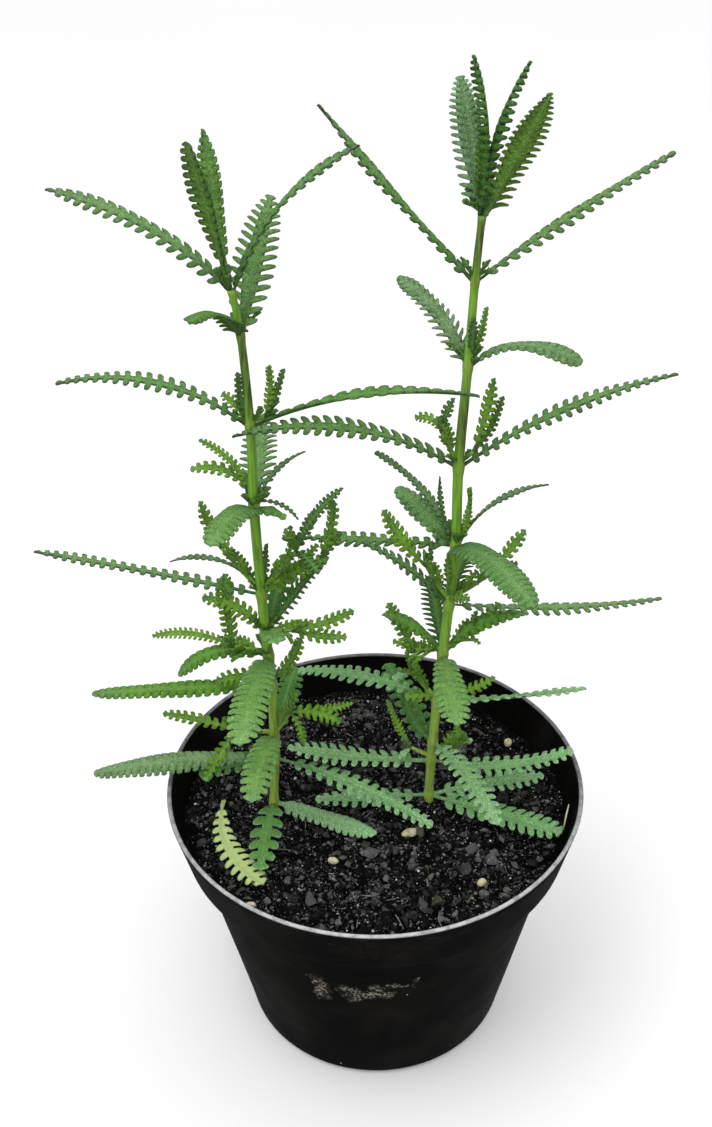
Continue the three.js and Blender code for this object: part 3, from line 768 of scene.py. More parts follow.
def peppered(tree, place, body, settings, cover):
    """The colour peppered with grey dust and rarer white specks: real specks, and painted glints too."""
    ash_and_glint = spread(tree, grain(tree, place, 2100, 5, 0.72), 0.64 - 0.1 * cover, 0.73 - 0.1 * cover)
    where = spread(tree, grain(tree, place, 150, 3), 0.36, 0.6)
    body = blend(tree, times(tree, ash_and_glint, where), body, settings.ash_and_glint)
    # White specks: partly mineral grains, partly painted glints
    fleck, rare = flecks(tree, place, 1000, (0.22, 0.12), (0.66, 0.7))
    return blend(tree, times(tree, fleck, times(tree, rare, where)), body, settings.grain)


def soil_material(settings):
    """Moist potting mix: near-black crumbs, some brown, painted shade in creases, grey and white specks."""
    made, tree, shader, place = material("potting_mix", 0.7, 0.02)
    tone, crease_shade, crumb, _ = masks(tree, "soil_mask")
    body = blend(tree, spread(tree, tone, 0.45, 1.0, 0, 0.4), settings.black, settings.brown)
    body = blend(tree, times(tree, crumb, 0.15), body, settings.brown)
    # Painted shade in the creases between clumps
    body = blend(tree, times(tree, crease_shade, 0.8), body, settings.black)
    body = peppered(tree, place, body, settings, 0.6)
    fine = grain(tree, place, 1500, 4, 0.7)
    finish_material(tree, shader, body, fine, 0.7 * MM, 1.0)
    return made


def chip_material(settings):
    """Bark and charcoal chips: each its own tone, with a fibrous grain and peppered specks."""
    made, tree, shader, place = material("bark_chip", 0.38, 0.1)
    tone, warm, pepper, _ = masks(tree, "soil_mask")
    body = blend(tree, tone, settings.black, settings.ash_and_glint)
    body = blend(tree, warm, body, settings.stone)
    fibre = grain(tree, stretched(tree, place, (1, 0.25, 1)), 2400, 4, 0.65)
    body = blend(tree, spread(tree, fibre, 0.5, 0.75, 0, 0.35), body, settings.brown)
    body = blend(tree, pepper, body, peppered(tree, place, body, settings, 1.4))
    finish_material(tree, shader, body, fibre, 0.3 * MM, 0.8)
    return made


def stone_material(settings, name, shade):
    """Rough pale mineral with faint stains."""
    made, tree, shader, place = material(name, 0.8)
    stain = spread(tree, grain(tree, place, 500, 4), 0.45, 0.75)
    body = blend(tree, times(tree, stain, 0.55), shade, settings.brown)
    finish_material(tree, shader, body, grain(tree, place, 1800, 4, 0.7), 0.25 * MM, 0.7)
    return made


# How far the mud's outline strays, and each mark: its middle and its reach in millimetres, and how much of
# it is covered
RAGGED = 14 * MM
MUD_MARKS = (
    ((-16.2, -46.4, 47), (3.6, 6, 8.5), 1.0),
    ((-3.2, -48.6, 47.5), (8.5, 6, 5), 0.95),
    ((6, -49.6, 51.5), (6.5, 6, 2), 0.8),
    ((4, -57, 75), (24, 8, 5), 0.12),
)


def plastic_material(settings):
    """Matte black plastic: a worn grey rim, scratches along the band, dried mud at the front."""
    made, tree, shader, place = material("black_plastic", 0.5, 0.035)
    rim, band, _, _ = masks(tree, "pot_mask")
    body = settings.plastic
    dust = spread(tree, grain(tree, place, 45, 5, 0.55), 0.4, 0.8)
    body = blend(tree, times(tree, dust, 0.02), body, settings.dirt)
    scratch = spread(tree, grain(tree, stretched(tree, place, (1, 1, 9)), 170, 6, 0.7), 0.58, 0.7)
    scratch = times(tree, scratch, spread(tree, band, 0, 1, 0.015, 0.1))
    body = blend(tree, scratch, body, settings.scuff)
    swirl = add_node(tree, "ShaderNodeTexNoise", {"Vector": place, "Scale": 240, "Detail": 5}).outputs[1]
    back = vectors(tree, "SUBTRACT", place, (RAGGED / 2,) * 3)
    ragged = vectors(tree, "MULTIPLY_ADD", swirl, (RAGGED,) * 3, back)
    for centre, reach, cover in MUD_MARKS:
        centre, reach = (tuple(value * MM for value in lengths) for lengths in (centre, reach))
        offset = vectors(tree, "SUBTRACT", ragged, centre)
        scaled = vectors(tree, "DIVIDE", offset, reach)
        far = add_node(tree, "ShaderNodeVectorMath", {0: scaled}, operation="LENGTH")
        patch = spread(tree, far.outputs["Value"], 1.0, 0.25)
        crust = spread(tree, grain(tree, place, 1300, 6, 0.75), 0.6 - 0.14 * cover, 0.68 - 0.1 * cover)
        body = blend(tree, times(tree, times(tree, patch, crust), cover), body, settings.dirt)
    fleck, rare = flecks(tree, place, 190, (0.07, 0.04), (0.8, 0.84))
    body = blend(tree, times(tree, fleck, rare), body, settings.dirt)
    wear = spread(tree, grain(tree, place, 420, 5, 0.65), 0.3, 0.62, 0.5, 1.0)
    body = blend(tree, times(tree, rim, wear), body, settings.scuff)
    rough = spread(tree, grain(tree, place, 120, 3), 0.3, 0.7, 0.42, 0.5)
    finish_material(tree, shader, body, grain(tree, place, 900, 4), 0.04 * MM, 0.4, rough)
    return made


# Meshes


class Patches:
    """Corners, faces and painted masks of one piece, gathered patch by patch"""

    def __init__(self, *masks_named):
        self.corners = []
        self.faces = []
        self.paint = {name: [] for name in masks_named}
        self.count = 0

    def add(self, corners, faces, **paint):
        """Adds a patch whose faces number its own corners."""
        self.corners.append(corners)
        self.faces.extend([[corner + self.count for corner in face] for face in faces])
        self.count += len(corners)
        for name, values in paint.items():
            self.paint[name].append(values)

    def piece(self, name, shade, slot, replaces=(), smooth=True):
        """The gathered patches as a piece that rides on the pot."""
        mesh = bpy.data.meshes.new(name)
        mesh.from_pydata(np.vstack(self.corners).tolist(), [], self.faces)
        for mask, values in self.paint.items():
            paint_mesh(mesh, mask, np.vstack(values))
        return set_piece(mesh, shade, replaces, smooth)


def paint_mesh(mesh, name, values):
    """Four painted masks at each corner of a mesh."""
    attribute = mesh.attributes.new(name, "FLOAT_COLOR", "POINT")
    attribute.data.foreach_set("color", np.asarray(values, np.float32).ravel())


def set_piece(mesh, shade, replaces=(), smooth=True):
    """A mesh as a piece with its material, riding on the pot's body."""
    mesh.polygons.foreach_set("use_smooth", [smooth] * len(mesh.polygons))
    mesh.materials.append(shade)
    mesh.validate()
    made = bpy.data.objects.new(mesh.name, mesh)
    bpy.context.scene.collection.objects.link(made)
    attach(made, BODY)
    if replaces:
        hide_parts(*replaces)
    return made


def ring_faces(rings, sides):
    """The faces between each ring of corners and the next."""
    faces = []
    for low in range(0, (rings - 1) * sides, sides):
        for side in range(sides):
            after = (side + 1) % sides
            faces.append([low + side, low + after, low + sides + after, low + sides + side])
    return faces


def level_sides(along, count):
    """The level and the upright direction across a way, repeated for each point of a path."""
    level = np.cross([0, 0, 1.0], along)
    level /= np.linalg.norm(level)
    return np.tile(level, (count, 1)), np.tile(np.cross(along, level), (count, 1))


def tube(patches, path, across, up, radii, squareness, sides, **paint):
    """A closed tube along a path, square with round corners where the squareness is high. Each mask is
    made from the turns of a ring's corners and the number of rings."""
    turns = np.linspace(0, 2 * math.pi, sides, endpoint=False)
    cosines, sines = np.cos(turns), np.sin(turns)
    rounding = (np.abs(cosines) ** squareness + np.abs(sines) ** squareness) ** (-1 / squareness)
    rings = (
        path[:, None]
        + across[:, None] * (radii[:, None] * rounding * cosines)[..., None]
        + up[:, None] * (radii[:, None] * rounding * sines)[..., None]
    )
    faces = ring_faces(len(path), sides)
    last = (len(path) - 1) * sides
    faces.append(list(range(sides))[::-1])
    faces.append(list(range(last, last + sides)))
    corners = rings.reshape(-1, 3)
    patches.add(corners, faces, **{name: make(turns, len(path)) for name, make in paint.items()})


def plain_mask(*values):
    """A mask for a tube that is the same all over it."""
    return lambda turns, rings: np.tile(values, (len(turns) * rings, 1))


def repeatable_draws(seed):
    """Repeatable draws between -1 and 1."""
    state = seed

    def draw():
        nonlocal state
        state = (state + 0x6D2B79F5) & DRAW_MASK
        mixed = ((state ^ (state >> 15)) * (1 | state)) & DRAW_MASK
        turned = ((mixed ^ (mixed >> 7)) * (61 | mixed)) & DRAW_MASK
        mixed ^= (mixed + turned) & DRAW_MASK
        return (mixed ^ (mixed >> 14)) / 2**31 - 1

    return draw


# Leaves


def heading(bearing, rise):
    """Unit vectors at bearings and rises in degrees."""
    turn, climb = np.radians(bearing), np.radians(rise)
    level = np.cos(climb)
    return np.stack(np.broadcast_arrays(
        level * np.cos(turn), level * np.sin(turn), np.sin(climb)), axis=-1)


def rib_line(root, shape, shares, sweep=0.0):
    """The rib's points and its frame at the given shares of a leaf's length."""
    bearing, rise, droop, length, _, roll = shape
    fine = np.linspace(0, 1, RIB_STEPS + 1)
    middle = (fine[1:] + fine[:-1]) / 2
    steps = heading(bearing + sweep * middle, rise - droop * middle) * length * MM / RIB_STEPS
    path = np.vstack([np.zeros(3), np.cumsum(steps, axis=0)]) + root
    centre = np.stack([np.interp(shares, fine, path[:, axis]) for axis in range(3)], axis=1)
    along = heading(bearing + sweep * shares, rise - droop * shares)
    level = heading(bearing + sweep * shares + 90, 0.0 * shares)
    turn = math.radians(roll)
    across = level * math.cos(turn) + np.cross(along, level) * math.sin(turn)
    return centre, along, across, np.cross(along, across)


def lobe_reach(off):
    """How far a lobe reaches, from its notches at -1 and 1 to its crest at 0."""
    return max(0.0, 1 - abs(off) ** LOBE_ROUND) ** (1 / LOBE_ROUND)


def blade_outline(place, look):
    """Share of the full half width along the blade: blunt below, narrowing to the taper at the tip."""
    grown = min(1.0, place / look.widest)
    below = math.sqrt(math.sin(math.pi * (look.heel + (0.5 - look.heel) * grown)))
    past = max(0.0, (place - look.widest) / (1 - look.widest))
    round_off = max(0.0, (place - 1 + look.dome) / look.dome)
    return below * (1 - (1 - look.taper) * past**TAPER_BEND) * math.sqrt(1 - DOME_DEPTH * round_off**2)


def leaf_rows(length, width, look):
    """Rows of a leaf: share of its length, half width, half width over the lobes, the hump, how far
    the row lies from its lobe's middle, and how deep the notches are cut there."""
    lobes = max(LEAST_LOBES, round(length * (1 - look.stalk) / look.pitch))
    pitch = length * (1 - look.stalk) / lobes * MM
    stalk_half = min(STALK_HALF, STALK_BREADTH * width * MM)
    lobe_rows = SMALL_LOBE_ROWS if width < SMALL_LEAF else LOBE_ROWS
    rows = []
    for row in range(STALK_ROWS):
        place = row / STALK_ROWS
        half = stalk_half * (STALK_FOOT - STALK_NARROWING * place)
        rows.append((place * look.stalk, half, stalk_half * 2, 0.0, 0.0, 0.5))
    for lobe in range(lobes):
        last = lobe == lobes - 1
        steps = TIP_STEPS if last else [0.0, *(0.5 + look.lobe * off for off in lobe_rows)]
        for step in steps:
            even = (lobe + step) / lobes
            place = even + look.crowd * even * (1 - even)
            whole = width / 2 * MM * blade_outline(place, look)
            reach = lobe_reach((min(step, 0.5) - 0.5) / look.lobe if last else (step - 0.5) / look.lobe)
            notch = look.notch * (look.foot + (1 - look.foot) * min(1.0, place / look.reach))
            reach = notch + (1 - notch) * reach
            if last and step > TIP_START:
                reach *= math.sqrt(max(0.0, 1 - ((step - TIP_START) / (1 - TIP_START)) ** 2))
            half = max(whole * reach, LEAST_HALF)
            share_here = look.stalk + place * (1 - look.stalk)
            local_pitch = pitch * (1 + look.crowd * (1 - 2 * even))
            off = 0.0 if last or step == 0 else (step - 0.5) * local_pitch
            rows.append((share_here, half, whole, math.sin(math.pi * step), off, notch))
    return np.array(rows).T


def bent_section(fold, curl):
    """Sideways and upward travel across a half blade that folds up and curls under."""
    across = np.linspace(0, 1, BEND_STEPS + 1)
    angle = np.radians(fold - curl * across**2)
    sideways = np.concatenate([[0], np.cumsum((np.cos(angle[1:]) + np.cos(angle[:-1])) / 2)])
    upward = np.concatenate([[0], np.cumsum((np.sin(angle[1:]) + np.sin(angle[:-1])) / 2)])
    return across, sideways / BEND_STEPS, upward / BEND_STEPS, angle


def sheet_faces(rows, columns):
    """Faces of a closed sheet: its top, its underside and its rim."""
    top = np.arange(rows * columns).reshape(rows, columns)
    low = top + rows * columns
    parts = [
        np.stack([top[:-1, :-1], top[1:, :-1], top[1:, 1:], top[:-1, 1:]], -1),
        np.stack([low[:-1, :-1], low[:-1, 1:], low[1:, 1:], low[1:, :-1]], -1),
        np.stack([top[:-1, 0], low[:-1, 0], low[1:, 0], top[1:, 0]], -1),
        np.stack([top[:-1, -1], top[1:, -1], low[1:, -1], low[:-1, -1]], -1),
        np.stack([top[0, :-1], top[0, 1:], low[0, 1:], low[0, :-1]], -1),
        np.stack([top[-1, :-1], low[-1, :-1], low[-1, 1:], top[-1, 1:]], -1),
    ]
    return np.vstack([part.reshape(-1, 4) for part in parts]).tolist()


def leaf(patches, root, leaf_shape, settings, draw, sweep=0.0):
    """A lobed leaf with a fold, curled margins, quilting, a sunk rib and a thin rounded rim."""
    *shape, kind = leaf_shape
    look = LOOKS[kind]
    length, width = shape[3], shape[4]
    rows = leaf_rows(length, width, look)
    centre, along, across, up = (line[:, None] for line in rib_line(root, shape, rows[0], sweep))
    shares, half, whole, hump, off, notch = rows[..., None]
    half_columns = SMALL_COLUMNS if width < SMALL_LEAF else COLUMNS
    columns = np.array([-column for column in half_columns[:0:-1]] + list(half_columns))
    side, reached = np.sign(columns), np.abs(columns)
    fold, curl = look.fold + FOLD_STRAY * draw(), look.curl * (1 + CURL_STRAY * draw())
    grid, sideways, upward, angle = bent_section(fold, curl)
    spread_out = min(MOST_SPREAD, 1 / sideways[-1])
    arc = half * reached * spread_out
    ratio = half * reached / whole
    lateral = np.interp(ratio, grid, sideways) * whole * side * spread_out
    lift = np.interp(ratio, grid, upward) * whole * spread_out
    slope = np.interp(ratio, grid, angle)
    wave = WAVE_HEIGHT * np.sin(2 * math.pi * (WAVES * shares + draw())) * ratio * side
    beyond = np.clip((ratio - notch) / (1 - notch), 0, 1)
    turn = math.radians(look.twist) * beyond**0.7
    flared = off * (1 + look.flare * beyond)
    ahead = flared * np.cos(turn) - off + look.lean * arc
    ahead -= look.hook * beyond**2 * (1 - look.notch) * whole
    hump = np.power(np.maximum(hump, 0), HUMP_ROUND)
    quilt = settings.quilt * min(1.0, width / FULL_QUILT) * hump
    quilt = quilt * np.sin(math.pi * np.clip(ratio, 0, QUILT_END))
    groove = np.exp(-((arc / RIB_REACH) ** 2))
    level = up * np.cos(slope)[..., None] - across * (side * np.sin(slope))[..., None]
    normal = level * np.cos(turn)[..., None] + along * np.sin(turn)[..., None]
    middle = (
        centre
        + along * ahead[..., None]
        + across * lateral[..., None]
        + up * (lift + wave)[..., None]
        - level * (flared * np.sin(turn))[..., None]
    )
    thick = settings.thickness * (1 - RIM_THINNING * reached**6)
    top = middle + normal * (thick / 2 + quilt - RIB_DEPTH * groove)[..., None]
    low = middle - normal * (thick / 2 - quilt * UNDER_QUILT + RIB_RELIEF * groove)[..., None]
    paint = leaf_paint(look, draw, shares, half * (1 - reached), ratio, beyond, hump, groove)
    patches.add(np.stack([top, low]).reshape(-1, 3), sheet_faces(len(shares), len(columns)), **paint)


def leaf_paint(look, draw, shares, inset, ratio, beyond, hump, groove):
    """A leaf's masks on both faces: margin, creases, youth, underside; rib, tone, felt, painted shade."""
    margin = np.exp(-((inset / MARGIN_REACH) ** 2))
    margin[:STALK_ROWS] = 0
    # The creases between the humps, where painted shade is laid
    crease_shade = (1 - hump) * np.clip((ratio - CREASE_START) / CREASE_FADE, 0, 1)
    tone = np.clip(look.tone + TONE_STRAY * draw(), 0, 1)
    youth = np.clip(look.youth + YOUTH_STRAY * draw(), 0, 1)
    flat = np.ones_like(groove)
    felt = max(0.0, look.tip) * (FELTED + (1 - FELTED) * shares**6) * flat
    greying_tip = max(0.0, -look.tip) * shares**5 * flat
    tones = tone + (1 - tone) * greying_tip
    pale = margin * (PALE_NOTCHES + (1 - PALE_NOTCHES) * beyond) * max(0.0, look.rim)
    # Painted shade: dark curled margins and lobes, the lobes' cores, the leaf's foot and a greying tip
    dark = np.maximum(margin, DARK_LOBES * beyond) * max(0.0, -look.rim)
    dark = np.maximum(dark, look.core * beyond * (1 - margin))
    dark = np.maximum(dark, FOOT_SHADE * np.clip(1 - shares / FOOT_REACH, 0, 1) ** 1.5 * flat)
    dark = np.maximum(dark, TIP_SHADE * greying_tip)
    fresh = youth * (1 - greying_tip)
    mask = [np.stack([pale, crease_shade, fresh, under * flat], -1) for under in (0, 1)]
    lines = [np.stack([groove, tones, felt, dark], -1)] * 2
    return {"leaf_mask": np.stack(mask).reshape(-1, 4), "leaf_lines": np.stack(lines).reshape(-1, 4)}


# Stems and shoots


def root_on(node, bearing, lift):
    """Just inside the stem's skin, towards the bearing."""
    return np.array(node) * MM + heading(bearing, 0.0) * ROOT_REACH + np.array([0, 0, lift])


def smooth_path(points, step):
    """Points along a smooth curve through the given ones, about a step apart."""
    ends = [2 * points[0] - points[1], *points, 2 * points[-1] - points[-2]]
    path = []
    for before, start, stop, after in zip(ends, ends[1:], ends[2:], ends[3:]):
        count = max(2, round(float(np.linalg.norm(stop - start)) / step))
        for part in np.arange(count) / count:
            path.append(0.5 * (
                2 * start
                + (stop - before) * part
                + (2 * before - 5 * start + 4 * stop - after) * part**2
                + (3 * start - before - 3 * stop + after) * part**3
            ))
    return np.array([*path, points[-1]])


def stem(patches, nodes, side):
    """The square stem through its nodes, thinner towards the tip and swollen at each node."""
    joints = [np.array(place) * MM for place, _, _ in nodes]
    foot = joints[0] - np.array([0, 0, STEM_SUNK])
    path = smooth_path([foot, *joints], STEM_STEP)
    grown = (path[:, 2] - foot[2]) / (path[-1, 2] - foot[2])
    knots = sum(np.exp(-(((path[:, 2] - joint[2]) / NODE_REACH) ** 2)) for joint in joints)
    radii = np.interp(grown, *zip(*STEM_SIDES)) * MM / 2 * (1 + NODE_SWELL * knots)
    east = np.tile([1.0, 0, 0], (len(path), 1))
    north = np.tile([0, 1.0, 0], (len(path), 1))

    # The brown stretches; the painted shade of the shaded side joins them below
    brown_and_shade = sum(
        np.exp(-(((path[:, 2] / MM - height) / reach) ** 2)) for height, reach in BROWN_STRETCHES[side]
    )

    def mask(turns, _):
        # The corners of the square, painted paler as a painted highlight
        ridge_highlight = np.abs(np.sin(2 * turns)) ** 3
        # The side facing SHADY_TURN, away from the light, takes painted shade in the brown channel
        shady = (0.5 + 0.5 * np.cos(turns - SHADY_TURN)) ** 2
        rows = [
            [corner, height, knot, min(1.0, 0.5 * shade + brown)]
            for height, knot, brown in zip(grown, knots, brown_and_shade)
            for corner, shade in zip(ridge_highlight, shady)
        ]
        return np.array(rows)

    tube(patches, path, east, north, radii, STEM_SQUARENESS, STEM_CORNERS, stem_mask=mask)


def stalk(patches, foot, tip, height):
    """A shoot's thin stalk, from the stem to its tip."""
    path = smooth_path([foot, (foot + tip) / 2 - [0, 0, STALK_SAG], tip], STEM_STEP)
    across, up = level_sides((tip - foot) / np.linalg.norm(tip - foot), len(path))
    radii = np.linspace(*STALK_TAPER, len(path)) * SHOOT_SIDE

    ridge_highlight, brown_and_shade = STALK_MASK
    mask = plain_mask(ridge_highlight, height, 0, brown_and_shade)
    tube(patches, path, across, up, radii, STALK_SQUARENESS, STALK_SIDES, stem_mask=mask)


def pair(leaves, place, bearing, rise, small, settings, detail):
    """Two small leaves at a place, one on each side of the bearing."""
    for turn in (-small.turn, small.turn):
        facing = bearing + turn + BEARING_STRAY * detail()
        climb = rise + small.rise_stray * detail() if small.rise_stray else rise
        length = small.length + small.length_stray * detail()
        width = small.width + small.width_share * length
        shape = (facing, climb, small.droop, length, width, small.roll * turn, small.kind)
        leaf(leaves, place, shape, settings, detail)


def shoot(stems, leaves, root, shape, settings, detail, height):
    """A side shoot: its stalk, the buds at the stalk's tip, the pairs along it, and its small leaves."""
    bearing, rise, length, small_leaves = shape
    end = root + heading(bearing, rise) * length * MM
    if length:
        stalk(stems, root, end, height)
        bud_rise = min(STEEPEST_BUD, rise + STALK_BUD_RISE)
        pair(leaves, end, bearing, bud_rise, STALK_BUDS, settings, detail)
    for share in STALK_PAIRS if length > BARE_STALK else ():
        place = root + (end - root) * share
        pair(leaves, place, bearing, rise + STALK_PAIR_RISE, STALK_LEAVES, settings, detail)
    for small in small_leaves:
        leaf(leaves, end, small, settings, detail)


def leafy_stem(side, nodes, settings, shades, detail):
    """One stem with its leaves and side shoots, as three pieces that stand for its node."""
    stems = Patches("stem_mask")
    leaves = Patches("leaf_mask", "leaf_lines")
    shoots = Patches("leaf_mask", "leaf_lines")
    stem(stems, nodes, side)
    lowest, highest = nodes[0][0][2], nodes[-1][0][2]
    for place, leaf_shapes, shoot_shapes in nodes:
        height = (place[2] - lowest) / (highest - lowest)
        for shape in leaf_shapes:
            leaf(leaves, root_on(place, shape[0], 0), shape, settings, detail)
            if height > BUDS_ABOVE:
                axil = root_on(place, shape[0], BUD_LIFT)
                pair(shoots, axil, shape[0], AXIL_BUD_RISE, AXIL_BUDS, settings, detail)
        for shape in shoot_shapes:
            start = root_on(place, shape[0], AXIL_RISE)
            shoot(stems, shoots, start, shape, settings, detail, height)
    node = "leafy_stem_" + side
    leaf_shade, stem_shade = shades
    stems.piece("stem_" + side, stem_shade, "lavender_foliage", [node])
    leaves.piece("leaves_" + side, leaf_shade, "lavender_foliage", [node])
    shoots.piece("shoots_" + side, leaf_shade, "lavender_foliage", [node])


# Soil


# The soil's top: how steeply clumps and crumbs round off, how narrow the painted shade in the creases
# between clumps is, and a crumb's breadth as a share of a clump's
CLUMP_ROUND = 1.6
CRUMB_ROUND = 1.5
CREASE_NARROW = 4
CRUMB_SHARE = 0.36
CRUMB_SHIFT = Vector((3.1, 7.7, 0))
CLUMP_DRAW = 7.3
CRUMB_DRAW = 5.1
# Shares of the relief: wide swells, the lowest clump, the level taken off again, the crumbs and the grit
SWELL = 0.55
LOWEST_CLUMP = 0.25
SETTLED = 0.62
CRUMB_RELIEF = 0.34
GRIT_RELIEF = 0.16
SWELL_BREADTH = 26 * MM
GRIT_BREADTH = 0.9 * MM
# The soil's body: rings of cells, its gap to the wall, and how it climbs the wall near its edge
SOIL_RINGS = 125
SOIL_GAP = 0.15 * MM
EDGE_RISE = 0.9 * MM
EDGE_START = 0.93
EDGE_WIDTH = 0.07
TOP_DEPTH = 2 * MM
SHOULDER_STEP = 1.6 * MM
SIDE_MASK = (0.3, 0.0, 0.3, 1.0)


def soil_relief(x, y, settings):
    """Height of the crumbly top over the soil's level, and its masks."""
    place = Vector((x, y, 0.0))
    clump = settings.clump
    near, points = noise.voronoi(place / clump)
    tone = (noise.cell(points[0] * CLUMP_DRAW) + 1) / 2
    dome = max(0.0, 1 - near[0] * near[0] * CLUMP_ROUND)
    # The creases between clumps, where painted shade is laid
    crease_shade = max(0.0, 1 - (near[1] - near[0]) * CREASE_NARROW)
    small, crumbs = noise.voronoi(place / (clump * CRUMB_SHARE) + CRUMB_SHIFT)
    crumb = (noise.cell(crumbs[0] * CRUMB_DRAW) + 1) / 2
    height = settings.relief * (
        SWELL * noise.noise(place / SWELL_BREADTH)
        + (LOWEST_CLUMP + (1 - LOWEST_CLUMP) * tone) * dome
        - SETTLED
        + CRUMB_RELIEF * crumb * max(0.0, 1 - small[0] * small[0] * CRUMB_ROUND)
        + GRIT_RELIEF * noise.noise(place / GRIT_BREADTH)
    )
    return height, (tone, crease_shade, crumb, 1.0)


def disc_grid(rings):
    """A square grid bent to a unit disc, with cells of even area."""
    line = np.linspace(-1, 1, 2 * rings + 1)
    across, back = np.meshgrid(line, line)
    reach = np.maximum(np.abs(across), np.abs(back))
    with np.errstate(divide="ignore", invalid="ignore"):
        swing = np.where(np.abs(across) >= np.abs(back), back / across, across / back) * math.pi / 4
    swing = np.nan_to_num(swing)
    wide = np.abs(across) >= np.abs(back)
    x = reach * np.where(wide, np.sign(across) * np.cos(swing), np.sign(back) * np.sin(swing))
    y = reach * np.where(wide, np.sign(across) * np.sin(swing), np.sign(back) * np.cos(swing))
    return x, y


def pot_radius(pot, height):
    """The pot's inner radius at a height."""
    shoulder = POT_HIGH.z - pot.band_height
    if height > shoulder:
        part = (height - shoulder) / pot.band_height
        outer = pot.band_foot_radius + (POT_HIGH.x - pot.band_foot_radius) * part
    else:
        outer = pot.base_radius + (pot.body_top_radius - pot.base_radius) * height / shoulder
    return outer - pot.wall


def soil_body(soil, pot, shade):
    """The potting mix: a crumbly top and plain sides down to the pot's floor."""
    edge = pot_radius(pot, soil.level) - SOIL_GAP
    unit_x, unit_y = disc_grid(SOIL_RINGS)
    rows = len(unit_x)
    corners, paint = [], []
    for x, y in zip((unit_x * edge).ravel(), (unit_y * edge).ravel()):
        height, mask = soil_relief(x, y, soil)
        outward = math.hypot(x, y) / edge
        rise = EDGE_RISE * max(0.0, (outward - EDGE_START) / EDGE_WIDTH) ** 2
        corners.append((x, y, soil.level + height + rise))
        paint.append(mask)
    number = np.arange(rows * rows).reshape(rows, rows)
    faces = np.stack([number[:-1, :-1], number[:-1, 1:], number[1:, 1:], number[1:, :-1]], -1)
    faces = faces.reshape(-1, 4).tolist()
    rim = [*number[0, :-1], *number[:-1, -1], *number[-1, :0:-1], *number[:0:-1, 0]]
    ring = [int(corner) for corner in rim]
    shoulder = POT_HIGH.z - pot.band_height
    floor = SOIL_LOW.z
    levels = (
        (soil.level - TOP_DEPTH, pot_radius(pot, soil.level - TOP_DEPTH)),
        (shoulder + SHOULDER_STEP, pot.band_foot_radius - pot.wall),
        (shoulder, pot.body_top_radius - pot.wall),
        (pot.base_round, pot_radius(pot, pot.base_round)),
        (floor, pot.base_radius - pot.base_round),
    )
    for height, radius in levels:
        lower = []
        for corner in ring:
            x, y, _ = corners[corner]
            scale = (radius - SOIL_GAP) / math.hypot(x, y)
            lower.append(len(corners))
            corners.append((x * scale, y * scale, height))
            paint.append(SIDE_MASK)
        for place, corner in enumerate(ring):
            after = (place + 1) % len(ring)
            faces.append([corner, lower[place], lower[after], ring[after]])
        ring = lower
    faces.append(ring[::-1])
    patches = Patches("soil_mask")
    patches.add(np.array(corners), faces, soil_mask=np.array(paint))
    patches.piece("potting_mix", shade, "potting_soil", ["soil"])


def chip_forms(count, points, draws):
    """Angular unit chips: hulls of points scattered near a ball, as corners and faces."""
    forms = []
    for _ in range(count):
        shape = bmesh.new()
        for _ in range(points):
            point = draws.normal(size=3)
            shape.verts.new(point / np.linalg.norm(point) * (0.8 + 0.2 * draws.random()) / 2)
        hull = bmesh.ops.convex_hull(shape, input=shape.verts)
        loose = [item for item in hull["geom_interior"] if isinstance(item, bmesh.types.BMVert)]
        bmesh.ops.delete(shape, geom=loose, context="VERTS")
        shape.verts.index_update()
        corners = np.array([corner.co for corner in shape.verts])
        forms.append((corners, [[corner.index for corner in face.verts] for face in shape.faces]))
        shape.free()
    return forms


def chip(patches, form, place, lengths, turn, tilt, tones):
    """One chip of a form, stretched to its lengths, tilted and turned."""
    corners, faces = form
    turned = np.array(Matrix.Rotation(turn, 3, "Z") @ Matrix.Rotation(tilt, 3, "X"))
    mask = np.tile([*tones, 1.0], (len(corners), 1))
    patches.add((corners * lengths) @ turned.T + place, faces, soil_mask=mask)


def on_soil(draws, soil, pot, margin):
    """A drawn place on the soil, clear of the pot's wall."""
    radius = (pot_radius(pot, soil.level) - margin) * math.sqrt(draws.random())
    turn = 2 * math.pi * draws.random()
    x, y = radius * math.cos(turn), radius * math.sin(turn)
    return np.array([x, y, soil.level + soil_relief(x, y, soil)[0]])


# Chips on the soil: how many, the least and greatest length, flatness, greatest tone and sinking
CHIP_SORTS = (
    (110, 3.4, 7.2, 0.42, 0.34, 0.15),
    (760, 1.8, 3.6, 0.55, 0.5, 0.15),
    (2600, 0.8, 1.8, 0.7, 0.8, 0.15),
    (3600, 0.4, 0.8, 0.8, 1.0, 0.1),
)
# How many forms the large chips, the small chips and the grains take, and from how many points each is made;
# chips shorter than SMALL_CHIP millimetres take the small forms
CHIP_FORMS = ((24, 13), (12, 8))
GRAIN_FORMS = (12, 10)
SMALL_CHIP = 1
# How the draws lean: to short, dark, cool and unpeppered chips
SHORT_BIAS = 1.6
DARK_BIAS = 3
COOL_BIAS = 14
PLAIN_BIAS = 2
WARMEST = 0.15
# A chip's least breadth and how much it gains, how far it tilts, how deep it may sink, its way from the wall
CHIP_BREADTH = (0.5, 0.4)
CHIP_TILT = 1.3
CHIP_SINK = 0.3
CHIP_MARGIN = 1.2 * MM
CHIP_REACH = 0.6
# The one tan chip: its place and lengths in millimetres, its turn and tilt, its tones and its lift
TAN_PLACE = (-33.2, -27.5)
TAN_LENGTHS = (5.6, 3.0, 1.6)
TAN_TURNS = (-0.5, 0.3)
TAN_TONES = (0.2, 0.35, 0.2)
TAN_LIFT = 0.4 * MM
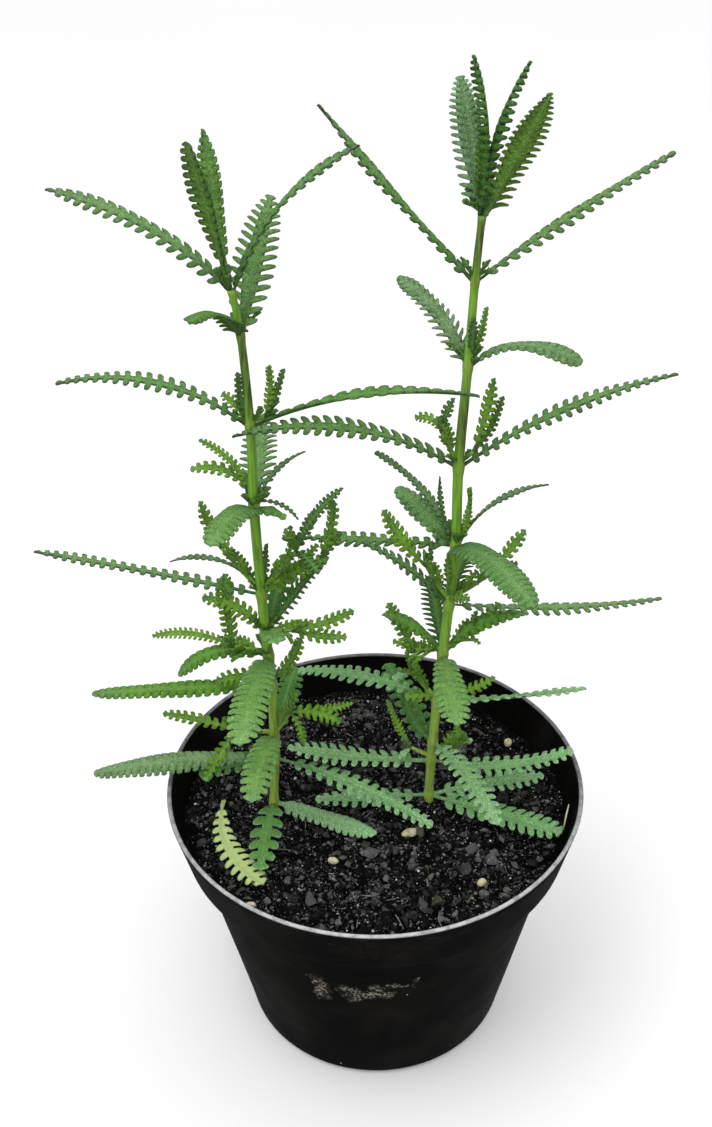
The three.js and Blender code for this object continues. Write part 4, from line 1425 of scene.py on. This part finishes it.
# Grains on the soil: how many, and the least and greatest length; then their shape, lift and margin
GRAIN_SORTS = ((18, 0.9, 1.5), (160, 0.45, 0.85), (480, 0.22, 0.45))
GRAIN_SHAPE = (1, 0.85, 0.75)
GRAIN_SHARE = 0.3
GRAIN_LIFT = 0.2 * MM
GRAIN_MARGIN = 2 * MM
# Fibres in the soil: how many, the least length and how much it gains, the margin, the slope and the bend
FIBRES = 60
FIBRE_LENGTH = (2.5, 6)
FIBRE_MARGIN = 6 * MM
FIBRE_SLOPE = 0.15
FIBRE_BEND = 0.25
FIBRE_UP = 0.3
FIBRE_WARMTH = 0.15
FIBRE_STEP = 1 * MM
FIBRE_RADIUS = 0.16 * MM
FIBRE_SIDES = 6
FIBRE_ENDS = 0.5
# The ends of the pale straw on the wall, its radius and how far its middle is raised
STRAW = ((53.2, -15.4, 77), (54.6, -12.6, 84))
STRAW_RADIUS = 0.26 * MM
STRAW_RISE = 0.7 * MM


def chips(soil, pot, shade):
    """Bark and charcoal chips of several sizes, each sunk a little in the soil."""
    draws = np.random.default_rng(SEED)
    forms = [chip_forms(*sort, draws) for sort in CHIP_FORMS]
    narrowest, gain = CHIP_BREADTH
    patches = Patches("soil_mask")
    for count, least, greatest, flatness, greyest, sunk in CHIP_SORTS:
        small = greatest < SMALL_CHIP
        for _ in range(count):
            length = (least + (greatest - least) * draws.random() ** SHORT_BIAS) * MM
            lengths = length * np.array([1, narrowest + gain * draws.random(), flatness])
            place = on_soil(draws, soil, pot, CHIP_MARGIN + length * CHIP_REACH)
            place[2] += length * flatness * (0.5 - sunk - CHIP_SINK * draws.random())
            tone, warm = draws.random() ** DARK_BIAS * greyest, WARMEST * draws.random() ** COOL_BIAS
            pepper = draws.random() ** PLAIN_BIAS
            form = forms[small][draws.integers(len(forms[small]))]
            tilt = (draws.random() - 0.5) * CHIP_TILT
            turn = 2 * math.pi * draws.random()
            chip(patches, form, place, lengths, turn, tilt, (tone, warm, pepper))
    x, y = (value * MM for value in TAN_PLACE)
    tan_place = np.array([x, y, soil.level + soil_relief(x, y, soil)[0] + TAN_LIFT])
    chip(patches, forms[0][0], tan_place, np.array(TAN_LENGTHS) * MM, *TAN_TURNS, TAN_TONES)
    patches.piece("bark_chips", shade, "potting_soil", smooth=False)


def grains(soil, pot, shade):
    """Small white mineral grains strewn over the soil."""
    draws = np.random.default_rng(SEED + 1)
    forms = chip_forms(*GRAIN_FORMS, draws)
    patches = Patches("soil_mask")
    for count, least, greatest in GRAIN_SORTS:
        for _ in range(count):
            length = (least + (greatest - least) * draws.random()) * MM
            place = on_soil(draws, soil, pot, GRAIN_MARGIN)
            place[2] += length * GRAIN_SHARE + GRAIN_LIFT
            form = forms[draws.integers(len(forms))]
            lengths = length * np.array(GRAIN_SHAPE)
            chip(patches, form, place, lengths, 6 * draws.random(), 3 * draws.random(), (0, 0, 0))
    patches.piece("white_grains", shade, "pale_stone", smooth=False)


def fibres(soil, pot, shade, straw_shade):
    """Thin dark fibres in the soil, and a pale straw leaning on the wall at the right."""
    draws = np.random.default_rng(SEED + 2)
    dark = Patches("soil_mask")
    least, gain = FIBRE_LENGTH
    for _ in range(FIBRES):
        length = (least + gain * draws.random() ** 2) * MM
        place = on_soil(draws, soil, pot, FIBRE_MARGIN)
        turn = 2 * math.pi * draws.random()
        way = np.array([math.cos(turn), math.sin(turn), FIBRE_SLOPE * (draws.random() - 0.3)])
        aside = np.array([-way[1], way[0], FIBRE_UP])
        bend = aside * length * FIBRE_BEND * (draws.random() - 0.5)
        points = [place - way * length / 2, place + bend, place + way * length / 2]
        tones = (0.5 + 0.5 * draws.random(), FIBRE_WARMTH * draws.random())
        fibre(dark, points, FIBRE_RADIUS, tones)
    dark.piece("soil_fibres", shade, "potting_soil")
    pale = Patches("soil_mask")
    foot, top = np.array(STRAW) * MM
    middle = (foot + top) / 2 + np.array([0, 0, STRAW_RISE])
    fibre(pale, [foot, middle, top], STRAW_RADIUS, (0, 0))
    pale.piece("pale_straw", straw_shade, "dry_leaf")


def fibre(patches, points, radius, tones):
    """A thin curved fibre through three points."""
    path = smooth_path(points, FIBRE_STEP)
    along = points[-1] - points[0]
    across, up = level_sides(along / np.linalg.norm(along), len(path))
    radii = radius * np.sin(np.linspace(FIBRE_ENDS, math.pi - FIBRE_ENDS, len(path)))
    tube(patches, path, across, up, radii, 2, FIBRE_SIDES, soil_mask=plain_mask(*tones, 0, 1))


def stone(number, shape, soil, shade):
    """A pale stone: a squashed, dented ball with soft edges."""
    x, y, length, breadth, turn = shape
    ball = bmesh.new()
    bmesh.ops.create_icosphere(ball, subdivisions=4, radius=1)
    for corner in ball.verts:
        dent = noise.noise(corner.co * STONE_DENTS + Vector((number * 5.0, 0, 0)))
        fine = noise.noise(corner.co * STONE_BUMPS + Vector((0, number * 3.0, 0)))
        scale = 1 + STONE_DENT * dent + STONE_BUMP * fine
        corner.co = Vector((
            corner.co.x * length / 2, corner.co.y * breadth / 2, corner.co.z * breadth / 2
        )) * scale * MM
    bmesh.ops.rotate(ball, verts=ball.verts, matrix=Matrix.Rotation(math.radians(turn), 3, "Z"))
    bmesh.ops.translate(ball, verts=ball.verts, vec=(x * MM, y * MM, soil.level + STONE_LIFT))
    mesh = bpy.data.meshes.new("pale_stone_%d" % number)
    ball.to_mesh(mesh)
    ball.free()
    set_piece(mesh, shade, ["pebble_%d" % number])


# Pot

POT_SIDES = 192
DRAIN_HOLES = 6
REAR_PALENESS = 0.35
LIP_STEPS = 5
WALL_STEP = 3 * MM
FILLET = 0.5 * MM
WORN_HEIGHT = 0.62 * MM
WORN_FADE = 0.3 * MM
DENT_DEPTH = 0.35 * MM
DENT_WAVES = 1.4
DENT_HEIGHT = 30 * MM
DENT_FOOT = 8 * MM
DENT_TOP = 20 * MM
SHARP_EDGE = math.radians(60)


def arc_points(centre, radius, start, stop, steps):
    """Points of a profile along an arc, by angles in degrees."""
    turns = np.radians(np.linspace(start, stop, steps + 1))
    return [(centre[0] + radius * math.cos(turn), centre[1] + radius * math.sin(turn)) for turn in turns]


def straight(start, stop):
    """Points of a profile along a straight wall, without its ends."""
    length = math.dist(start, stop)
    count = max(1, round(length / WALL_STEP))
    return [
        (start[0] + (stop[0] - start[0]) * step / count, start[1] + (stop[1] - start[1]) * step / count)
        for step in range(1, count)
    ]


def pot_profile(pot):
    """The shell's outline from the middle of the underside, up outside, over the rim and down inside."""
    top, rim = POT_HIGH.z, POT_HIGH.x
    shoulder = top - pot.band_height
    wall, round_base = pot.wall, pot.base_round
    lip = wall / 2
    flat = pot.base_radius - round_base
    foot = [(0.0, 0.0), (flat, 0.0)]
    corner = arc_points((flat, round_base), round_base, -75, -12, 5)
    body_top = (pot.body_top_radius - 0.2 * MM, shoulder - 1.2 * MM)
    step = [
        (pot.body_top_radius + 0.1 * MM, shoulder - 0.75 * MM),
        (pot.body_top_radius + 0.6 * MM, shoulder - 0.4 * MM),
        (pot.band_foot_radius - FILLET, shoulder - 0.05 * MM),
        (pot.band_foot_radius - 0.1 * MM, shoulder + 0.15 * MM),
        (pot.band_foot_radius, shoulder + FILLET),
    ]
    crown = arc_points((rim - lip, top - lip), lip, 0, 180, 2 * LIP_STEPS)
    inside = [
        (pot.band_foot_radius - wall, shoulder + wall),
        (pot.body_top_radius - wall, shoulder - 0.4 * MM + wall / 2),
        (pot.base_radius - wall, round_base + pot.floor),
        (flat, pot.floor),
        (0.0, pot.floor),
    ]
    outline = [*foot, *corner, *straight(corner[-1], body_top), body_top, *step]
    outline += [*straight(step[-1], crown[0]), *crown]
    outline += [*straight(crown[-1], inside[0]), inside[0], inside[1]]
    outline += [*straight(inside[1], inside[2]), *inside[2:]]
    return outline


def pot_shell(pot):
    """The turned shell, with slight dents in its thin wall and painted masks for its rim and band."""
    outline = pot_profile(pot)
    corners, mask = [], []
    shoulder = POT_HIGH.z - pot.band_height
    for radius, height in outline[1:-1]:
        for side in range(POT_SIDES):
            turn = 2 * math.pi * side / POT_SIDES
            way = Vector((math.cos(turn), math.sin(turn), 0))
            dent = noise.noise(way * DENT_WAVES + Vector((0, 0, height / DENT_HEIGHT)))
            give = min(1.0, height / DENT_FOOT) * min(1.0, (POT_HIGH.z - height) / DENT_TOP)
            here = radius - DENT_DEPTH * give * (dent + 1) / 2
            corners.append((here * way.x, here * way.y, height))
            worn = min(1.0, max(0.0, (height - POT_HIGH.z + WORN_HEIGHT) / WORN_FADE))
            # The rim is painted paler towards the front, fading to REAR_PALENESS at the back
            worn *= REAR_PALENESS + (1 - REAR_PALENESS) * math.sqrt(max(0.0, -way.y))
            outside = radius > POT_HIGH.x - pot.wall or height < shoulder
            mask.append((worn, 1.0 if height > shoulder and outside else 0.0, 0.0, 1.0))
    rings = len(outline) - 2
    faces = ring_faces(rings, POT_SIDES)
    for ring, height, order in ((0, 0.0, 1), (rings - 1, pot.floor, -1)):
        hub = len(corners)
        corners.append((0.0, 0.0, height))
        mask.append((0.0, 0.0, 0.0, 1.0))
        for side in range(POT_SIDES):
            after = (side + 1) % POT_SIDES
            start = ring * POT_SIDES
            faces.append([hub, start + after, start + side][::order])
    return corners, faces, mask


def drain_drills(pot):
    """One mesh of round drills for the drain holes."""
    drills = bmesh.new()
    for hole in range(DRAIN_HOLES):
        turn = 2 * math.pi * hole / DRAIN_HOLES
        way = Vector((math.cos(turn), math.sin(turn), 0)) * pot.drain_circle
        bmesh.ops.create_cone(
            drills, cap_ends=True, segments=32, radius1=pot.drain_radius, radius2=pot.drain_radius,
            depth=4 * pot.floor, matrix=Matrix.Translation(way + Vector((0, 0, pot.floor / 2))),
        )
    mesh = bpy.data.meshes.new("drills")
    drills.to_mesh(mesh)
    drills.free()
    return bpy.data.objects.new("drills", mesh)


def drilled(mesh, drills):
    """The mesh with the drills cut out of it."""
    raw = bpy.data.objects.new("raw_pot", mesh)
    for item in (raw, drills):
        bpy.context.scene.collection.objects.link(item)
    cut = raw.modifiers.new("drains", "BOOLEAN")
    cut.object = drills
    cut.operation = "DIFFERENCE"
    cut.solver = "EXACT"
    shapes = bpy.context.evaluated_depsgraph_get()
    made = bpy.data.meshes.new_from_object(raw.evaluated_get(shapes))
    for item in (raw, drills):
        bpy.data.objects.remove(item)
    made.name = "nursery_pot"
    return made


class MakePot(bpy.types.Operator):
    """Build the black nursery pot with its band, worn rim and drain holes"""

    bl_idname = "lavender.make_pot"
    bl_label = "Pot"

    def execute(self, context):
        """Builds the pot."""
        pot = context.scene.lavender_pot
        corners, faces, mask = pot_shell(pot)
        mesh = bpy.data.meshes.new("pot_shell")
        mesh.from_pydata(corners, [], faces)
        paint_mesh(mesh, "pot_mask", mask)
        made = drilled(mesh, drain_drills(pot))
        piece = set_piece(made, plastic_material(pot), ["pot"])
        edges = piece.modifiers.new("edges", "EDGE_SPLIT")
        edges.split_angle = SHARP_EDGE
        return {"FINISHED"}


class MakeSoil(bpy.types.Operator):
    """Build the potting mix with its chips, fibres and white grains"""

    bl_idname = "lavender.make_soil"
    bl_label = "Soil"

    def execute(self, context):
        """Builds the soil and what lies in it."""
        soil, pot = context.scene.lavender_soil, context.scene.lavender_pot
        bark = chip_material(soil)
        soil_body(soil, pot, soil_material(soil))
        chips(soil, pot, bark)
        grains(soil, pot, stone_material(soil, "white_grain", soil.grain))
        fibres(soil, pot, bark, stone_material(soil, "pale_straw", soil.stone))
        return {"FINISHED"}


class MakeStones(bpy.types.Operator):
    """Build the pale stones that lie in the soil"""

    bl_idname = "lavender.make_stones"
    bl_label = "Stones"

    def execute(self, context):
        """Builds each stone."""
        soil = context.scene.lavender_soil
        shade = stone_material(soil, "cream_stone", soil.stone)
        for number, shape in enumerate(STONES, 1):
            stone(number, shape, soil, shade)
        return {"FINISHED"}


class MakeStems(bpy.types.Operator):
    """Build the two leafy stems with their leaves and side shoots"""

    bl_idname = "lavender.make_stems"
    bl_label = "Leafy stems"

    def execute(self, context):
        """Builds both stems."""
        settings = context.scene.lavender_foliage
        shades = leaf_material(settings), stem_material(settings)
        detail = repeatable_draws(SEED)
        leafy_stem("left", LEFT_STEM, settings, shades, detail)
        leafy_stem("right", RIGHT_STEM, settings, shades, detail)
        return {"FINISHED"}


class MakeFallenLeaf(bpy.types.Operator):
    """Build the yellow leaf that has dropped on the soil"""

    bl_idname = "lavender.make_fallen_leaf"
    bl_label = "Fallen leaf"

    def execute(self, context):
        """Builds the fallen leaf."""
        settings = context.scene.lavender_foliage
        patches = Patches("leaf_mask", "leaf_lines")
        root = np.array(FALLEN_LEAF_ROOT) * MM
        detail = repeatable_draws(SEED + 2)
        leaf(patches, root, FALLEN_LEAF, settings, detail, FALLEN_LEAF_SWEEP)
        patches.piece("yellow_leaf", dry_leaf_material(settings), "dry_leaf", ["fallen_leaf"])
        return {"FINISHED"}


class MakeStage(bpy.types.Operator):
    """Set the camera, the plain floor and the soft lights"""

    bl_idname = "lavender.make_stage"
    bl_label = "Stage"

    def execute(self, context):
        """Builds the stage."""
        stage = context.scene.lavender_stage
        set_camera(stage)
        set_floor(stage)
        set_lights(stage)
        return {"FINISHED"}


# The stage: the nearest that the camera sees, the floor's reach and gap, and each lamp's place and breadth
NEAREST = 0.01
FLOOR_REACH = 3.0
FLOOR_LOW = -0.05 * MM
KEY_PLACE = (-0.3, -0.3, 1.0)
KEY_BREADTH = 0.45
FILL_PLACE = (0.15, -1.2, 0.7)
FILL_BREADTH = 0.6


def set_camera(stage):
    """The camera at the photograph's viewing angle."""
    forward = Vector((0, math.cos(stage.tilt), -math.sin(stage.tilt)))
    east = Vector((1, 0, 0))
    above = east.cross(forward)
    right = east * math.cos(stage.roll) + above * math.sin(stage.roll)
    up = above * math.cos(stage.roll) - east * math.sin(stage.roll)
    data = bpy.data.cameras.new("camera")
    data.lens = stage.lens
    data.clip_start = NEAREST
    made = bpy.data.objects.new("camera", data)
    turned = Matrix((right, up, -forward)).transposed().to_4x4()
    made.matrix_world = Matrix.Translation(stage.camera) @ turned
    bpy.context.scene.collection.objects.link(made)
    bpy.context.scene.camera = made


def set_floor(stage):
    """A wide plain floor just under the pot."""
    made, tree, shader, place = material("pale_floor", 0.9, 0.1)
    shade = blend(tree, spread(tree, grain(tree, place, 3, 2), 0.3, 0.7, 0, 0.05), stage.floor, (1, 1, 1))
    finish_material(tree, shader, shade, grain(tree, place, 40, 2), 0.02 * MM, 0.1)
    mesh = bpy.data.meshes.new("floor")
    sides = ((-1, -1), (1, -1), (1, 1), (-1, 1))
    corners = [(x * FLOOR_REACH, y * FLOOR_REACH, FLOOR_LOW) for x, y in sides]
    mesh.from_pydata(corners, [], [(0, 1, 2, 3)])
    mesh.materials.append(made)
    floor = bpy.data.objects.new("floor", mesh)
    floor.visible_diffuse = False
    floor.visible_glossy = False
    bpy.context.scene.collection.objects.link(floor)


def add_lamp(name, place, target, breadth, power):
    """A square area lamp aimed at a point."""
    data = bpy.data.lights.new(name, "AREA")
    data.size = breadth
    data.energy = power
    lamp = bpy.data.objects.new(name, data)
    lamp.location = place
    lamp.rotation_euler = (Vector(target) - Vector(place)).to_track_quat("-Z", "Y").to_euler()
    bpy.context.scene.collection.objects.link(lamp)


def set_lights(stage):
    """Soft light from above, dim below the horizon, a large lamp above and another in front."""
    world = bpy.data.worlds.new("studio")
    world.use_nodes = True
    tree = world.node_tree
    sky = tree.nodes["Background"]
    sky.inputs["Color"].default_value = (1, 1, 1, 1)
    way = add_node(tree, "ShaderNodeTexCoord").outputs["Generated"]
    height = add_node(tree, "ShaderNodeSeparateXYZ", {0: way}).outputs["Z"]
    glow = spread(tree, height, -0.15, 0.75, stage.low_sky, stage.sky)
    tree.links.new(glow, sky.inputs["Strength"])
    bpy.context.scene.world = world
    middle = (0, 0, POT_HIGH.z)
    add_lamp("key", KEY_PLACE, middle, KEY_BREADTH, stage.key)
    add_lamp("fill", FILL_PLACE, middle, FILL_BREADTH, stage.fill)
    bpy.context.scene.view_settings.view_transform = "Standard"


class LavenderPanel(bpy.types.Panel):
    """Lists the builder's steps and settings in the sidebar"""

    bl_idname = "LAVENDER_PT_panel"
    bl_label = "Potted Lavender"
    bl_space_type = "VIEW_3D"
    bl_region_type = "UI"
    bl_category = "Lavender"

    def draw(self, context):
        """Draws a button for each step, then the settings."""
        for operator in OPERATORS:
            self.layout.operator(operator.bl_idname)
        for name, group in SETTINGS.items():
            box = self.layout.box()
            box.label(text=group.__doc__)
            for field in group.__annotations__:
                box.prop(getattr(context.scene, name), field)


SETTINGS = {
    "lavender_pot": PotSettings,
    "lavender_soil": SoilSettings,
    "lavender_foliage": FoliageSettings,
    "lavender_stage": StageSettings,
}
OPERATORS = (MakePot, MakeSoil, MakeStones, MakeStems, MakeFallenLeaf, MakeStage)
STEPS = ("make_stage", "make_pot", "make_soil", "make_stones", "make_stems", "make_fallen_leaf")


def register():
    """Registers the settings, the operators and the panel."""
    for group in (*SETTINGS.values(), *OPERATORS, LavenderPanel):
        bpy.utils.register_class(group)
    for name, group in SETTINGS.items():
        setattr(bpy.types.Scene, name, bpy.props.PointerProperty(type=group))


def unregister():
    """Removes what register added."""
    for name in SETTINGS:
        delattr(bpy.types.Scene, name)
    for group in reversed((*SETTINGS.values(), *OPERATORS, LavenderPanel)):
        bpy.utils.unregister_class(group)


def main():
    """Registers the add-on and builds every piece in order."""
    register()
    for step in STEPS:
        getattr(bpy.ops.lavender, step)()


if __name__ == "__main__":
    main()
